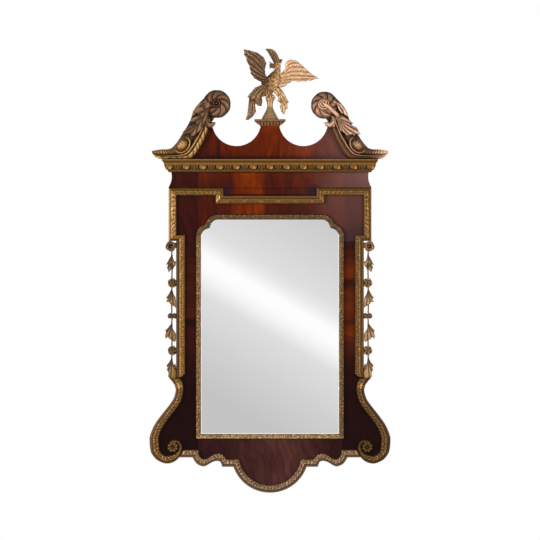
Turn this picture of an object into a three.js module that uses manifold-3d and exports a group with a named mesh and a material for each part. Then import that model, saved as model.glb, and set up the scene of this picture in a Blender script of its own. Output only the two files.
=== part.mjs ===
// A Georgian-style mahogany and parcel-gilt wall mirror with a phoenix finial.
// Millimetres, +Z up. The front looks towards -Y and the wall is the plane Y = 0.
// Z = 0 is the middle of the batten behind the top rail, and X = 0 is the centre line.
// An outline for one side is written with X measured outwards from the centre line.

import * as THREE from 'three';
import { mergeVertices } from 'three/addons/utils/BufferGeometryUtils.js';
import Module from 'manifold-3d';

const wasm = await Module();
wasm.setup();

// ---------------------------------------------------------------- driving dimensions

const FIT = 0.3; // gap between pieces that touch
const SIDES = [['left', -1], ['right', 1]];

// the mahogany ground, cut from one outline into two stiles and two rails
const BOARD_T = 25;
const BATTEN_T = 12; // the battens hold the boards this far off the wall
const STILE_W = 80.5; // edge of the sight to the outside of an upright
const EAR_OUT = 25; // how far the ears stand out from the uprights
const EAR_TOP = 41;
const EAR_BOTTOM = -135;
const BULGE_OUT = 88; // how far the lower scrolls stand out from the uprights
const HORN_RISE = 186; // from the foot of the sight up to where the uprights end
const SCROLL_DROP = 96; // from the foot of the sight down to the scrolls' underside
const APRON_DROP = 76; // down to the level stretch beside each volute
const APRON_STEP = 31; // from there down to the level stretch beside the round drop
const APRON_R = 128.5; // round drop in the middle of the apron
const APRON_CENTRE_DROP = 64; // from the foot of the sight down to its centre
const LAP = 60; // half-lap joints between stiles and rails
const LAP_W = 34;

// the looking glass and what holds it
const SIGHT_W = 459;
const SIGHT_H = 712;
const SIGHT_TOP = -62;
const SIGHT_BAND = 15; // width of the moulding round the glass
const SIGHT_PROUD = 8.5;
const CUSP_R = 43; // the two round lobes of each upper corner
const CUSP_STEP = 29.5;
const GLASS_T = 4;
const GLASS_LAP = 10; // how far the glass runs behind the boards
const REBATE = 12; // depth of the rebate in the back of the boards
const BACKBOARD_T = 6;
const BACKBOARD_LAP = 12;

// carved and gilt mouldings along the outer edges
const BAND = 26;
const SIDE_BAND = 30;
const SHOULDER = 20; // height of the step under each ear
const HORN_BEVEL = 11; // the last of the side moulding narrows towards the scroll
const PROUD = 13;
const CENTRE_BAR_HALF = 154;
const CENTRE_BAR_TOP = 13;

// frieze, cornice and broken pediment
const FRIEZE_H = 51;
const FRIEZE_HOLLOW = 5; // how far the face of the frieze is hollowed
const PEDIMENT_IN = 9; // the ends of the pediment stand in from the ears
const CORNICE_H = 42;
const CORNICE_OUT = 30;
const SCOOP_IN = 29.5; // centre line to the nearest point of a scoop
const SCOOP_PAST = 16; // how far a scoop runs out past the middle of its rosette
const SCOOP_RISE = 125.5; // from the top of the cornice to the scoop centres
const PLINTH_RISE = 111; // from the top of the cornice to the top of the plinth's neck
const CAP_OUT = 20.7; // how far the cap stands out from the neck
const CAP_H = 21;

// scrolled pediment necks, rosettes and leaves
const NECK_PROUD = 30;
const ROSETTE_IN = 150.5; // from the end of the pediment to the middle of a rosette
const ROSETTE_RISE = 182.5; // from the top of the cornice
const ROSETTE_R = 46;
const ROSETTE_BACKING_R = 36; // the board's round end behind a rosette
const ROSETTE_PROUD = 38;
const LEAF_T = 11;

// finial
const FINIAL_IN = 8.8; // from the front of the boards back to the finial's middle
const PEDESTAL_R = 27.5;
const PEDESTAL_H = 77;
const PEG_R = 4.5;
const SOCKET_DEPTH = 32; // of the hole in the plinth, below its cap
const PEG_SHORT = 6; // the peg stops this far above the bottom of its hole
const WING_T = 11;

// garlands beside the uprights
const GARLAND_T = 14;
const WIRE_R = 1.6;
const BLOSSOM_R = 14; // also how far the stem hangs out from the upright
const LEAF_CLEAR = 0.5; // the leaves stop this much shorter than the blossoms do
const EAR_BUD_R = 17; // the round bud under each ear
const EAR_BUD_GAP = 0.55; // under the ear
const EAR_BUD_CLEAR = 2.5; // beside the upright

// battens
const CROSS_W = 50;
const CROSS_IN = 22; // the cross batten ends this far in from the sides of the opening
const CREST_IN = 92; // from the end of the pediment to the middle of a crest batten
const CREST_W = 40;
const CREST_RISE = 104; // of the crest battens' top over the cornice
const APRON_BATTEN_W = 34;
const APRON_BATTEN_IN = 47; // it ends this far in from the sides of the opening
const APRON_BATTEN_DROP = 8; // below the backboard

// D-ring hangers
const HANGER_CLEAR = 3; // between the backboard and a ring
const HANGER_DROP = 35; // from the ears' underside down to the bars of the rings
const STRAP_T = 1.5;
const STRAP_W = 15;
const STRAP_L = 25;
const RING_WIRE_R = 1.5;
const RING_HALF = 12.5;
const RING_DROP = 38;
const SCREW_R = 1.75;
const SCREW_HEAD_R = 3.8;
const SCREW_HEAD_H = 2;
const SCREW_L = 14;
const SCREW_DROP = 15; // from the bar of the ring down to the screw
const RUNNING_GAP = 0.35;

// ---------------------------------------------------------------- places worked out

const BOARD_BACK = -(BATTEN_T + FIT);
const BOARD_FRONT = BOARD_BACK - BOARD_T;
const FACE = BOARD_FRONT - FIT; // where a moulding is planted on the boards
const OPEN_HALF = SIGHT_W / 2 + SIGHT_BAND / 2;
const SIGHT_OUT = SIGHT_W / 2 + SIGHT_BAND;
const SIGHT_BOTTOM = SIGHT_TOP - SIGHT_H;
const OPEN_BOTTOM = SIGHT_BOTTOM - SIGHT_BAND / 2;
const REBATE_HALF = OPEN_HALF + GLASS_LAP;
const REBATE_TOP = SIGHT_TOP + SIGHT_BAND / 2 + GLASS_LAP;
const REBATE_BOTTOM = OPEN_BOTTOM - GLASS_LAP;
const GLASS_FRONT = BOARD_BACK - REBATE + FIT;
const UPRIGHT_HALF = SIGHT_W / 2 + STILE_W; // centre line to the outside of the uprights
const EAR_HALF = UPRIGHT_HALF + EAR_OUT;
const BULGE_HALF = UPRIGHT_HALF + BULGE_OUT;
const HORN_Z = SIGHT_BOTTOM + HORN_RISE; // where the uprights end on the lower scrolls
const HORN_TOP = HORN_Z + 3; // the shelf where the uprights and garlands end
const SCROLL_BOTTOM = SIGHT_BOTTOM - SCROLL_DROP;
const APRON_TOP = SIGHT_BOTTOM - APRON_DROP;
const APRON_CENTRE_Z = SIGHT_BOTTOM - APRON_CENTRE_DROP;
const PEDIMENT_HALF = EAR_HALF - PEDIMENT_IN;
const PEDIMENT_Z = EAR_TOP + FRIEZE_H; // foot of the pediment board
const CORNICE_TOP = PEDIMENT_Z + CORNICE_H;
const NECK_TOP = CORNICE_TOP + PLINTH_RISE;
const ROSETTE_X = PEDIMENT_HALF - ROSETTE_IN;
const ROSETTE_Z = CORNICE_TOP + ROSETTE_RISE;
const SCOOP_R = (ROSETTE_X + SCOOP_PAST - SCOOP_IN) / 2;
const SCOOP_CENTRE = [SCOOP_IN + SCOOP_R, CORNICE_TOP + SCOOP_RISE];
const CAP_TOP = NECK_TOP + FIT + CAP_H;
const FINIAL_Y = BOARD_FRONT + FINIAL_IN;
const FINIAL_Z = CAP_TOP + FIT;
const PERCH_Z = FINIAL_Z + PEDESTAL_H; // top of the pedestal, under the bird's feet
const BACKBOARD_HALF = REBATE_HALF + BACKBOARD_LAP;
const HANGER_X = BACKBOARD_HALF + HANGER_CLEAR + RING_HALF + RING_WIRE_R;
const HANGER_Z = EAR_BOTTOM - HANGER_DROP;

// ---------------------------------------------------------------- finishes

const material = (color, roughness, metalness) =>
  new THREE.MeshStandardMaterial({ color, roughness, metalness });
const mahogany = material(0x4a1c12, 0.3, 0);
const gilt = material(0xa87c3c, 0.45, 0.8);
const pine = material(0xb08a5c, 0.8, 0);
const silvered = material(0xc9ced2, 0.05, 1);
const brass = material(0xb5924c, 0.4, 1);
const steel = material(0x8d9094, 0.35, 1);

// ---------------------------------------------------------------- shaping functions

const sub = (a, b) => [a[0] - b[0], a[1] - b[1]];
const unit = ([x, z]) => [x / Math.hypot(x, z), z / Math.hypot(x, z)];
const mirrored = (points, side) => points.map(([x, z]) => [side * x, z]);
const shifted = (points, dx, dz) => points.map(([x, z]) => [x + dx, z + dz]);

// Points on a circle, from one angle to another in degrees.
function arc(centre, radius, from, to, steps) {
  return Array.from({ length: steps + 1 }, (_, i) => {
    const a = THREE.MathUtils.degToRad(from + ((to - from) * i) / steps);
    return [centre[0] + radius * Math.cos(a), centre[1] + radius * Math.sin(a)];
  });
}

// A smooth line through hand-chosen points.
function smooth(points, steps) {
  const curve = new THREE.SplineCurve(points.map(([x, z]) => new THREE.Vector2(x, z)));
  return curve.getPoints(steps).map((p) => [p.x, p.y]);
}

// The line beside a line, mitred at its corners. A positive distance lies to the left.
// The distance is one number, or a function of the place along the line from 0 to 1.
function beside(line, distance) {
  const width = typeof distance === 'function' ? distance : () => distance;
  const last = line.length - 1;
  const runs = line.slice(1).map((p, i) => unit(sub(p, line[i])));
  return line.map((p, i) => {
    const before = runs[Math.max(i - 1, 0)];
    const after = runs[Math.min(i, last - 1)];
    const across = unit([-(before[1] + after[1]), before[0] + after[0]]);
    const reach = width(i / last) / (before[0] * across[1] - before[1] * across[0]);
    return [p[0] + across[0] * reach, p[1] + across[1] * reach];
  });
}

// Turns a closed surface so that its faces point out.
function outward(geometry) {
  const p = geometry.attributes.position;
  const index = geometry.index.array;
  const [a, b, c] = [new THREE.Vector3(), new THREE.Vector3(), new THREE.Vector3()];
  let volume = 0;
  for (let i = 0; i < index.length; i += 3) {
    a.fromBufferAttribute(p, index[i]);
    b.fromBufferAttribute(p, index[i + 1]);
    c.fromBufferAttribute(p, index[i + 2]);
    volume += a.dot(b.cross(c));
  }
  if (volume < 0) geometry.setIndex(Array.from(index).reverse());
  return geometry;
}

// A closed skin over rings of points that all have the same count. The ends are closed
// with the triangles of `section`, the flat shape that each ring was made from.
function skin(rings, section) {
  const count = section.length;
  const flat = section.map(([u, h]) => new THREE.Vector2(u, h));
  const caps = THREE.ShapeUtils.triangulateShape(flat, []);
  const turn = THREE.ShapeUtils.isClockWise(flat) ? -1 : 1;
  const index = [];
  for (let i = 0; i < rings.length - 1; i++) {
    for (let j = 0; j < count; j++) {
      const k = (j + 1) % count;
      const [a, b, c, d] = [i * count + j, i * count + k, (i + 1) * count + k, (i + 1) * count + j];
      index.push(a, b, c, a, c, d);
    }
  }
  const last = (rings.length - 1) * count;
  for (const [a, b, c] of caps) {
    if (turn > 0) index.push(c, b, a, last + a, last + b, last + c);
    else index.push(a, b, c, last + c, last + b, last + a);
  }
  const geometry = new THREE.BufferGeometry();
  geometry.setAttribute('position', new THREE.Float32BufferAttribute(rings.flat(2), 3));
  geometry.setIndex(index);
  return outward(geometry);
}

// A moulding between two lines on the front. Each section point is [share of the way
// from the outer line to the inner line, height towards the front].
function moulding(outer, inner, section, base = FACE) {
  const rings = outer.map(([x, z], i) => section.map(([u, h]) =>
    [x + (inner[i][0] - x) * u, base - h, z + (inner[i][1] - z) * u]));
  return skin(rings, section);
}

// Pulls the first or last point of a line back by half a gap, for a butted joint.
function trimmed(line, atStart, atEnd) {
  const out = line.map((p) => [...p]);
  const pull = (i, j) => {
    const d = unit(sub(out[j], out[i]));
    out[i] = [out[i][0] + d[0] * FIT / 2, out[i][1] + d[1] * FIT / 2];
  };
  if (atStart) pull(0, 1);
  if (atEnd) pull(out.length - 1, out.length - 2);
  return out;
}

// A board or carved leaf: an outline on the front, given thickness towards the front.
function plate(outline, back, thickness, { round = 0, holes = [] } = {}) {
  const shape = new THREE.Shape(outline.map(([x, z]) => new THREE.Vector2(x, z)));
  shape.holes = holes.map((h) => new THREE.Path(h.map(([x, z]) => new THREE.Vector2(x, z))));
  const geometry = new THREE.ExtrudeGeometry(shape, {
    depth: thickness - 2 * round,
    bevelEnabled: round > 0,
    bevelThickness: round,
    bevelSize: round,
    bevelOffset: -round,
    bevelSegments: 1,
    curveSegments: 1,
  });
  return geometry.rotateX(Math.PI / 2).translate(0, back - round, 0);
}

function block([x0, x1], [y0, y1], [z0, z1]) {
  return new THREE.BoxGeometry(x1 - x0, y1 - y0, z1 - z0)
    .translate((x0 + x1) / 2, (y0 + y1) / 2, (z0 + z1) / 2);
}

// A block with the same half width and depth outline at each level, as [z, half width, front].
function tiered(levels, back) {
  const square = [[-1, 0], [1, 0], [1, 1], [-1, 1]];
  const rings = levels.map(([z, half, front]) => square.map(([u, v]) =>
    [u * half, v ? front : back, z]));
  return skin(rings, square);
}

// A turned piece standing upright, from [radius, height] points that start and end on the axis.
function turned(profile, [x, y, z], segments) {
  return new THREE.LatheGeometry(profile.map(([r, h]) => new THREE.Vector2(r, h)), segments)
    .rotateX(Math.PI / 2).translate(x, y, z);
}

// A round rod between two points.
function rod(from, to, radius, segments) {
  const [a, b] = [new THREE.Vector3(...from), new THREE.Vector3(...to)];
  const axis = new THREE.Vector3().subVectors(b, a);
  const q = new THREE.Quaternion().setFromUnitVectors(new THREE.Vector3(0, 1, 0), axis.clone().normalize());
  return new THREE.CylinderGeometry(radius, radius, axis.length(), segments)
    .applyQuaternion(q).translate(...a.add(b).multiplyScalar(0.5).toArray());
}

// ---------------------------------------------------------------- joining and cutting

function solid(geometry) {
  const bare = geometry.clone();
  bare.deleteAttribute('normal');
  bare.deleteAttribute('uv');
  const merged = mergeVertices(bare, 1e-4);
  return new wasm.Manifold(new wasm.Mesh({
    numProp: 3,
    vertProperties: merged.attributes.position.array,
    triVerts: new Uint32Array(merged.index.array),
  }));
}

function surface(piece) {
  const { vertProperties, triVerts } = piece.getMesh();
  const geometry = new THREE.BufferGeometry();
  geometry.setAttribute('position', new THREE.BufferAttribute(new Float32Array(vertProperties), 3));
  geometry.setIndex(new THREE.BufferAttribute(new Uint32Array(triVerts), 1));
  return geometry;
}

const joined = (...parts) => parts.map(solid).reduce((a, b) => a.add(b));
const without = (piece, ...cuts) => cuts.map(solid).reduce((a, b) => a.subtract(b), piece);
const within = (piece, ...boxes) => piece.intersect(joined(...boxes));

const assembly = new THREE.Group();

function add(name, geometry, finish) {
  const mesh = new THREE.Mesh(geometry.isBufferGeometry ? geometry : surface(geometry), finish);
  mesh.name = name;
  assembly.add(mesh);
}

// ---------------------------------------------------------------- outer lines of the front

// The lower scroll from its neck round to the eye of the volute, as shares of its
// width and height.
const SCROLL_NECK = [UPRIGHT_HALF + 1, HORN_Z - 39];
const SCROLL_SHARES = [
  [0, 0], [0.115, 0.136], [0.547, 0.34], [0.811, 0.475], [0.973, 0.611], [1, 0.691], [0.968, 0.815],
  [0.89, 0.883], [0.72, 0.951], [0.45, 0.997], [0.22, 0.997], [0.014, 0.966], [-0.14, 0.916],
];
const VOLUTE_SHARES = [
  [-0.14, 0.916], [-0.225, 0.856], [-0.245, 0.785], [-0.19, 0.718], [-0.046, 0.68], [0.114, 0.68],
  [0.25, 0.71],
];
const scrollPoint = ([u, v]) => [
  SCROLL_NECK[0] + u * (BULGE_HALF - SCROLL_NECK[0]),
  SCROLL_NECK[1] + v * (SCROLL_BOTTOM - SCROLL_NECK[1]),
];
const scrollLine = smooth(SCROLL_SHARES.map(scrollPoint), 33);
const voluteLine = smooth(VOLUTE_SHARES.map(scrollPoint), 18);
const VOLUTE_EYE = scrollPoint([0.115, 0.775]);
const VOLUTE_R = 20;

// The flared top of the scroll, where the garland ends: outer and inner points.
const flareOuter = shifted([[23.5, 40], [14, 30], [4, 16]], ...SCROLL_NECK);
const flareInner = shifted([[10 - BAND, 37], [2.6 - BAND, 25], [-BAND, 12]], ...SCROLL_NECK);

// The round drop in the middle of the apron, from the level stretch on one side of it
// to that on the other.
const dropArc = (radius, startZ) => {
  const angle = THREE.MathUtils.radToDeg(Math.asin((startZ - APRON_CENTRE_Z) / radius));
  return arc([0, APRON_CENTRE_Z], radius, angle, -180 - angle, 32);
};
const APRON_FOOT = APRON_TOP - APRON_STEP;
const dropOuter = dropArc(APRON_R, APRON_FOOT);
const dropInner = dropArc(APRON_R - BAND, APRON_FOOT + BAND);

// The apron from the volute to the round drop: shares of its width and of its step down,
// and how far each inner point leans towards the centre line.
const APRON_SHARES = [
  [1, 0, 4.5], [0.799, 0, 20], [0.722, 0.645, 11], [0.606, 0.952, 3], [0.527, 0.871, 5.5],
  [0.414, 0.516, 3], [0.317, 0.371, 3], [0.252, 0.484, 8], [0.216, 1, 15],
];
const voluteX = scrollPoint([-0.241, 0])[0]; // where the apron meets the volute
const apronPoint = ([u, v]) => [
  THREE.MathUtils.lerp(dropOuter[0][0], voluteX, u), APRON_TOP - v * APRON_STEP,
];
const apronOuter = [...APRON_SHARES.map(apronPoint), dropOuter[0]];
const apronInner = [
  ...APRON_SHARES.map(([u, v, lean]) => {
    const [x, z] = apronPoint([u, v]);
    return [x - lean, z + BAND];
  }),
  dropInner[0],
];
const curved = (line) => [line[0], ...smooth(line.slice(1, 8), 18), ...line.slice(8)];

// ---------------------------------------------------------------- sight line of the glass

const lobeCentre = [SIGHT_OUT - CUSP_R, SIGHT_TOP + SIGHT_BAND - CUSP_R - CUSP_STEP];
const cuspTurn = Math.sqrt(CUSP_R ** 2 - CUSP_STEP ** 2 / 2);
const cuspAngle = THREE.MathUtils.radToDeg(Math.atan2(
  CUSP_STEP / 2 + cuspTurn / Math.SQRT2, cuspTurn / Math.SQRT2 - CUSP_STEP / 2));
const cornerRight = [
  ...arc(lobeCentre, CUSP_R, 0, cuspAngle, 8),
  ...arc([lobeCentre[0] - CUSP_STEP, lobeCentre[1] + CUSP_STEP], CUSP_R, 90 - cuspAngle, 90, 8).slice(1),
];
const sightOuterTop = [...cornerRight, ...mirrored(cornerRight, -1).reverse()];
const openingTop = beside(sightOuterTop, SIGHT_BAND / 2);

// ---------------------------------------------------------------- the mahogany ground

const EDGE = 1; // the mouldings cover the edge of the boards by this much
const edgeRight = beside([
  [EAR_HALF, EAR_TOP + EDGE],
  [EAR_HALF, EAR_BOTTOM],
  [UPRIGHT_HALF, EAR_BOTTOM],
  [UPRIGHT_HALF, HORN_TOP],
  ...flareOuter,
  ...scrollLine,
  ...curved(apronOuter).slice(0, -1),
  ...dropOuter.slice(0, 17),
], -EDGE).map(([x, z], i, all) => (i === all.length - 1 ? [0, z] : [x, z]));
edgeRight[0][1] = EAR_TOP;
const groundOutline = [...edgeRight, ...mirrored(edgeRight, -1).reverse().slice(1)];
const opening = [...openingTop, [-OPEN_HALF, OPEN_BOTTOM], [OPEN_HALF, OPEN_BOTTOM]];
opening[0] = [OPEN_HALF, lobeCentre[1]];
opening[openingTop.length - 1] = [-OPEN_HALF, lobeCentre[1]];

const ground = without(
  solid(plate(groundOutline, BOARD_BACK, BOARD_T, { holes: [opening] })),
  block([-REBATE_HALF - FIT, REBATE_HALF + FIT], [BOARD_BACK - REBATE, 0],
    [REBATE_BOTTOM - FIT, REBATE_TOP + FIT]),
);

const DEEP = [BOARD_FRONT - PROUD, 0];
const LAP_Y = [BOARD_BACK - BOARD_T / 2, 0];
const LAP_X = (REBATE_HALF + UPRIGHT_HALF) / 2;
const lapX = (side, grow) => [side * LAP_X - LAP_W / 2 - grow, side * LAP_X + LAP_W / 2 + grow];
const topLap = (side, grow) =>
  block(lapX(side, grow), [LAP_Y[0] - grow, 0], [EAR_BOTTOM - FIT, EAR_BOTTOM + LAP + grow]);
const FOOT_LAP_TOP = REBATE_BOTTOM - BACKBOARD_LAP;
const footLap = (side, grow) => {
  const reach = [side * (OPEN_HALF - LAP / 2), side * (OPEN_HALF + LAP / 2 + grow)];
  return block(reach.sort((a, b) => a - b), [LAP_Y[0] - grow, 0],
    [FOOT_LAP_TOP - LAP_W - grow, FOOT_LAP_TOP + grow]);
};
const PILOT_R = SCREW_R + FIT;
const HANGER_SCREW_Z = HANGER_Z - SCREW_DROP;
const screwHole = (side, radius, from, to) =>
  rod([side * HANGER_X, from, HANGER_SCREW_Z], [side * HANGER_X, to, HANGER_SCREW_Z], radius, 12);

function makeGround() {
  const below = [SCROLL_BOTTOM - APRON_R, EAR_BOTTOM - FIT / 2];
  const above = block([-EAR_HALF, EAR_HALF], DEEP, [EAR_BOTTOM + FIT / 2, EAR_TOP]);
  add('top_rail', without(within(ground, above), topLap(-1, FIT), topLap(1, FIT)), mahogany);
  for (const [name, side] of SIDES) {
    const x = [side * (OPEN_HALF + FIT / 2), side * BULGE_HALF].sort((a, b) => a - b);
    add(`stile_${name}`, without(within(ground, block(x, DEEP, below), topLap(side, 0)),
      footLap(side, FIT), screwHole(side, PILOT_R, BOARD_BACK - SCREW_L, 0)), mahogany);
  }
  const middle = [-OPEN_HALF + FIT / 2, OPEN_HALF - FIT / 2];
  const rail = block(middle, DEEP, [SCROLL_BOTTOM - APRON_R, OPEN_BOTTOM + FIT]);
  add('bottom_rail', within(ground, rail, footLap(-1, 0), footLap(1, 0)), mahogany);
}

// ---------------------------------------------------------------- glass and backing

function makeGlass() {
  const x = [-REBATE_HALF, REBATE_HALF];
  const z = [REBATE_BOTTOM, REBATE_TOP];
  const back = GLASS_FRONT + GLASS_T;
  const beadY = [back + FIT, BOARD_BACK];
  const inX = REBATE_HALF - GLASS_LAP;
  add('mirror_glass', block(x, [GLASS_FRONT, back], z), silvered);
  for (const [name, side] of SIDES) {
    const bead = [side * inX, side * REBATE_HALF].sort((a, b) => a - b);
    add(`glass_bead_${name}`, block(bead, beadY, z), pine);
  }
  const across = [-inX + FIT, inX - FIT];
  add('glass_bead_top', block(across, beadY, [REBATE_TOP - GLASS_LAP, REBATE_TOP]), pine);
  add('glass_bead_bottom', block(across, beadY, [REBATE_BOTTOM, REBATE_BOTTOM + GLASS_LAP]), pine);
  add('backboard', block([-BACKBOARD_HALF, BACKBOARD_HALF],
    [BOARD_BACK + FIT, BOARD_BACK + FIT + BACKBOARD_T],
    [z[0] - BACKBOARD_LAP, z[1] + BACKBOARD_LAP]), pine);
}

// The moulding round the glass stands on the boards and reaches back to the glass.
function makeSightMoulding() {
  const leg = -(BOARD_T - REBATE + FIT);
  const rebateShare = 0.5 + FIT / SIGHT_BAND;
  const section = [
    [0, 0], [0, SIGHT_PROUD * 0.55], [0.14, SIGHT_PROUD * 0.95], [0.3, SIGHT_PROUD * 0.85],
    [0.52, SIGHT_PROUD], [0.76, SIGHT_PROUD * 0.75], [1, SIGHT_PROUD * 0.2], [1, leg],
    [rebateShare, leg], [rebateShare, 0],
  ];
  const [outer, inner] = [SIGHT_OUT, SIGHT_W / 2];
  const [low, sight] = [SIGHT_BOTTOM - SIGHT_BAND, SIGHT_BOTTOM];
  for (const [name, side] of SIDES) {
    const a = trimmed(mirrored([[outer, low], [outer, lobeCentre[1]]], side), true, true);
    const b = trimmed(mirrored([[inner, sight], [inner, lobeCentre[1]]], side), true, true);
    add(`sight_moulding_${name}`, moulding(a, b, section), gilt);
  }
  const top = beside(sightOuterTop, SIGHT_BAND);
  top[0] = [inner, lobeCentre[1]];
  top[top.length - 1] = [-inner, lobeCentre[1]];
  add('sight_moulding_top',
    moulding(trimmed(sightOuterTop, true, true), trimmed(top, true, true), section), gilt);
  add('sight_moulding_bottom', moulding(trimmed([[-outer, low], [outer, low]], true, true),
    trimmed([[-inner, sight], [inner, sight]], true, true), section), gilt);
}

// ---------------------------------------------------------------- outer gilt mouldings

const BAND_SECTION = [
  [0, 0], [0, 2], [0.2, PROUD * 0.75], [0.3, PROUD], [0.45, PROUD * 0.86], [0.62, PROUD * 0.92],
  [0.76, PROUD * 0.7], [0.88, PROUD * 0.95], [1, PROUD * 0.5], [1, 0],
];

function makeTopMouldings() {
  const bar = [[-CENTRE_BAR_HALF, CENTRE_BAR_TOP], [CENTRE_BAR_HALF, CENTRE_BAR_TOP]];
  const under = [
    [-CENTRE_BAR_HALF - BAND, CENTRE_BAR_TOP - BAND], [CENTRE_BAR_HALF + BAND, CENTRE_BAR_TOP - BAND],
  ];
  add('top_moulding_centre',
    moulding(trimmed(bar, true, true), trimmed(under, true, true), BAND_SECTION), gilt);
  const line = [
    [-CENTRE_BAR_HALF, CENTRE_BAR_TOP], [CENTRE_BAR_HALF, CENTRE_BAR_TOP],
    [CENTRE_BAR_HALF, EAR_TOP - FIT], [EAR_HALF, EAR_TOP - FIT], [EAR_HALF, EAR_BOTTOM],
    [UPRIGHT_HALF, EAR_BOTTOM], [UPRIGHT_HALF, HORN_TOP + HORN_BEVEL], [UPRIGHT_HALF, HORN_TOP],
  ];
  const inner = beside(line, -BAND);
  inner[4] = [EAR_HALF - BAND, EAR_BOTTOM + SHOULDER];
  inner[5] = [UPRIGHT_HALF - SIDE_BAND, EAR_BOTTOM + SHOULDER];
  inner[6] = [UPRIGHT_HALF - SIDE_BAND, HORN_TOP + HORN_BEVEL];
  inner[7] = [UPRIGHT_HALF - SIDE_BAND * 0.6, HORN_TOP];
  for (const [name, side] of SIDES) {
    const piece = (from, to) => moulding(
      trimmed(mirrored(line.slice(from, to), side), true, true),
      trimmed(mirrored(inner.slice(from, to), side), true, true), BAND_SECTION);
    add(`top_moulding_${name}`, piece(1, 5), gilt);
    add(`side_moulding_${name}`, piece(4, 8), gilt);
  }
}

// A flower of round petals about an eye, standing towards the front.
function blossom([x, z], radius, base, height, petals = 8, steps = 4) {
  const count = petals * steps;
  const rings = [
    [1, 0], [1, height * 0.45], [0.82, height], [0.45, height * 0.7], [0.28, height],
  ];
  const circle = Array.from({ length: count }, (_, i) => {
    const a = (2 * Math.PI * i) / count;
    const lobe = 1 - 0.14 * (1 - Math.abs(Math.sin((petals * a) / 2)));
    return [Math.cos(a) * lobe, Math.sin(a) * lobe];
  });
  return skin(rings.map(([share, h]) => circle.map(([u, v]) =>
    [x + u * radius * share, base - h, z + v * radius * share])), circle);
}

function makeScrollMouldings() {
  const flat = (line) => line.slice(1);
  const outer = [...flareOuter, ...scrollLine, ...flat(voluteLine)];
  const spiralShare = scrollLine.length / (scrollLine.length + voluteLine.length);
  const taper = (t) => BAND * (t < spiralShare * 0.86 ? 1
    : THREE.MathUtils.lerp(1, 0.2, Math.min(1, (t - spiralShare * 0.86) / 0.22)));
  const rest = [...scrollLine, ...flat(voluteLine)];
  const inner = [...flareInner, ...beside(rest, (t) => -taper(t))];
  for (const [name, side] of SIDES) {
    const band = moulding(mirrored(outer, side), mirrored(inner, side), BAND_SECTION);
    const eye = blossom([side * VOLUTE_EYE[0], VOLUTE_EYE[1]], VOLUTE_R, FACE, PROUD * 0.9);
    add(`scroll_moulding_${name}`, joined(band, eye), gilt);
  }
}

function makeApronMouldings() {
  const outer = curved(apronOuter);
  const inner = curved(apronInner);
  for (const [name, side] of SIDES) {
    add(`apron_moulding_${name}`, moulding(trimmed(mirrored(outer, side), false, true),
      trimmed(mirrored(inner, side), false, true), BAND_SECTION), gilt);
  }
  add('apron_moulding_centre', moulding(trimmed(dropOuter, true, true),
    trimmed(dropInner, true, true), BAND_SECTION), gilt);
}

// ---------------------------------------------------------------- frieze and cornice

function makeFrieze() {
  const foot = EAR_TOP + FIT;
  const height = FRIEZE_H - 2 * FIT;
  const levels = Array.from({ length: 11 }, (_, i) => {
    const t = i / 10;
    const hollow = FRIEZE_HOLLOW * Math.sin(Math.PI * t);
    const bulge = THREE.MathUtils.lerp(EAR_HALF - PEDIMENT_HALF, 0, t) - hollow;
    return [foot + t * height, PEDIMENT_HALF + bulge, BOARD_FRONT - bulge];
  });
  add('frieze', tiered(levels, BOARD_BACK), mahogany);
}

function makeCornice() {
  const [low, high] = [PEDIMENT_Z, CORNICE_TOP];
  const at = (share) => low + share * (high - low);
  const section = [
    [0, at(0)], [0.07, at(0)], [0.33, at(0.16)], [0.4, at(0.2)], [0.6, at(0.3)], [0.68, at(0.42)],
    [0.76, at(0.62)], [0.84, at(0.7)], [0.92, at(0.88)], [1, at(0.92)], [1, at(1)], [0, at(1)],
  ];
  const out = CORNICE_OUT;
  const cornerX = PEDIMENT_HALF + FIT;
  const cornerY = BOARD_FRONT - FIT;
  // each length runs between two ends; an end leans outwards at a mitre
  const length = (ends) => skin(ends.map(({ at: [x, y], lean: [dx, dy] }) =>
    section.map(([u, z]) => [x + u * out * dx, y + u * out * dy, z])), section);
  const gap = FIT / 2;
  add('cornice_front', length([
    { at: [-cornerX + gap, cornerY], lean: [-1, -1] },
    { at: [cornerX - gap, cornerY], lean: [1, -1] },
  ]), gilt);
  for (const [name, side] of SIDES) {
    add(`cornice_return_${name}`, length([
      { at: [side * cornerX, cornerY + gap], lean: [side, -1] },
      { at: [side * cornerX, BOARD_BACK], lean: [side, 0] },
    ]), gilt);
  }
}

// ---------------------------------------------------------------- broken pediment

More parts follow.
